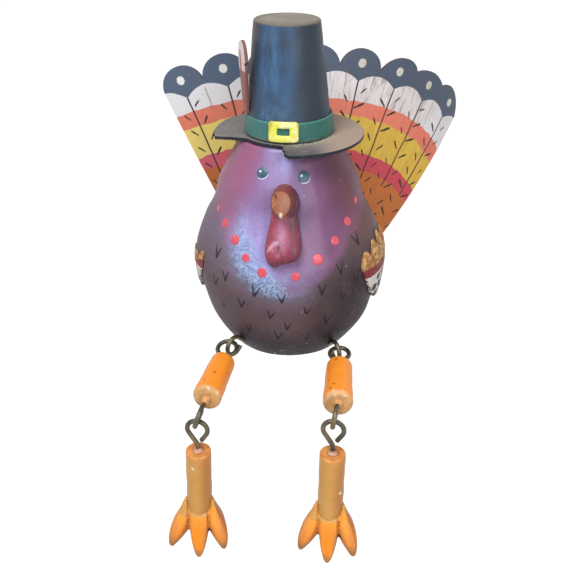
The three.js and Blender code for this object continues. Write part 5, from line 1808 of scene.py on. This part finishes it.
# %% Both legs
THIGH_PAINT, SHIN_PAINT, FOOT_PAINT = orange_paint(THIGH_LENGTH), tan_paint(), foot_paint()
TOES = [toe_skin(MIDDLE_TOE, 1, MIDDLE_LENGTH, 0), toe_skin(SIDE_TOE, -1, SIDE_LENGTH, SIDE_RISE),
        toe_skin(SIDE_TOE, 1, SIDE_LENGTH, SIDE_RISE), web_skin()]
for which, leg in LEGS.items():
    frames = leg_frames(leg)
    upper_body, lower_body = f"upper_leg_{which}", f"lower_leg_{which}"
    for end, neck, shank, rider in (
            ("body", NECK, EYE["Shank"], "root"),
            ("thigh_top", NECK, leg["thigh neck"] + LEG_SHANK, upper_body),
            ("thigh_bottom", NECK, leg["knee neck"] + LEG_SHANK, upper_body),
            ("shin", SHIN_NECK_REACH, leg["shin neck"] + LEG_SHANK, lower_body)):
        sizes = {**EYE, "Neck reach": neck, "Shank": shank}
        eye = grown(f"{end}_screw_eye_{which}", EYE_TREE, sizes, 60, frames[end])
        keep(eye, rider, "eye_wire", f"{end}_eye_{which}")
    skirt = collar(f"thigh_skirt_{which}", frames["thigh_bottom"], NECK + leg["knee neck"],
                   leg["knee neck"] + 1, 2.6, THIGH_SKIRT)
    keep(skirt, upper_body, "leg_orange")
    glue = collar(f"shin_glue_{which}", frames["shin"], SHIN_NECK_REACH + leg["shin neck"], 1.6,
                  2.3, SHIN_GLUE)
    keep(glue, lower_body, "shin_tan")
    thigh = dowel(f"thigh_dowel_{which}", THIGH_LENGTH, (leg["hip radius"], leg["knee radius"]),
                  THIGH_RIMS, frames["thigh"])
    keep(thigh, upper_body, "leg_orange", f"thigh_{which}", paint=THIGH_PAINT)
    shin = dowel(f"shin_dowel_{which}", leg["shin length"], (leg["shin radius"],) * 2, SHIN_RIMS,
                 frames["shin_wood"])
    keep(shin, lower_body, "shin_tan", f"shin_{which}", paint=SHIN_PAINT)
    foot = fused(f"carved_toes_{which}", TOES, 2, FOOT_PAINT, frames["foot"])
    mark_points(foot, frames["foot"])
    keep(foot, lower_body, "leg_orange",
         *(f"toe_{n}_{which}" for n in ("middle", "inner", "outer")))

# %% [markdown]
# ## Floor, light and camera
# The floor is pale and catches a soft shadow. To the camera it gives off a little light of its
# own, so that it reads as white paper without more light on the turkey. Two broad lamps and a
# bright sky light the paint about as it is written. The camera stands where the photograph was
# taken from.

# %% Floor
FLOOR_DROP, FLOOR_HALF, FLOOR_GLOW = 112, 3000, 0.88
SKY_LIGHT, SKY_SEEN = 0.38, 1


def seen_itself(tree):
    """1 where the camera, a reflection or a clear piece shows this, and 0 where it only lights."""
    path = tree.nodes.new("ShaderNodeLightPath")
    camera, glossy, clear = (Num(tree, path.outputs[f"Is {kind} Ray"])
                             for kind in ("Camera", "Glossy", "Transmission"))
    return camera.most(glossy).most(clear)


def floor_finish():
    material = bpy.data.materials.new("pale floor")
    material.use_nodes = True
    tree = material.node_tree
    for label, value in (("Base Color", shade("8c8c8a")), ("Roughness", 0.9),
                         ("Emission Color", (1, 1, 1, 1)),
                         ("Emission Strength", seen_itself(tree) * FLOOR_GLOW)):
        plug(tree, tree.nodes["Principled BSDF"].inputs[label], value)
    return material


corners = [(x * FLOOR_HALF, y * FLOOR_HALF, -FLOOR_DROP)
           for x, y in ((-1, -1), (1, -1), (1, 1), (-1, 1))]
floor = mesh_piece("floor", corners, [(0, 1, 2, 3)], floor_finish())


# %% World and lamps
def sky():
    world = bpy.data.worlds.new("sky")
    bpy.context.scene.world = world
    world.use_nodes = True
    tree = world.node_tree
    background = tree.nodes["Background"]
    background.inputs["Color"].default_value = (1, 1, 1, 1)
    light = seen_itself(tree) * (SKY_SEEN - SKY_LIGHT) + SKY_LIGHT
    plug(tree, background.inputs["Strength"], light)


LAMP_AIM = Vector((0, 0, 0.06))


def lamp(name, energy, size, place):
    data = bpy.data.lights.new(name, "AREA")
    data.energy, data.size = energy, size
    obj = linked(name, data)
    obj.location = place
    obj.rotation_euler = (LAMP_AIM - Vector(place)).to_track_quat("-Z", "Y").to_euler()


sky()
lamp("key lamp", 7, 0.4, (-0.26, -0.48, 0.85))
lamp("fill lamp", 4.4, 0.5, (0.55, -0.75, 0.42))

# %% Camera
camera = bpy.data.cameras.new("camera")
camera.lens, camera.sensor_width = 47.565, 36
camera.clip_start = 0.01
viewer = linked("camera", camera)
viewer.location = (0.0344, -0.3529, 0.2216)
viewer.rotation_euler = (RAD(60.61), 0, RAD(5.5))
bpy.context.scene.camera = viewer
bpy.context.scene.view_settings.view_transform = "Standard"
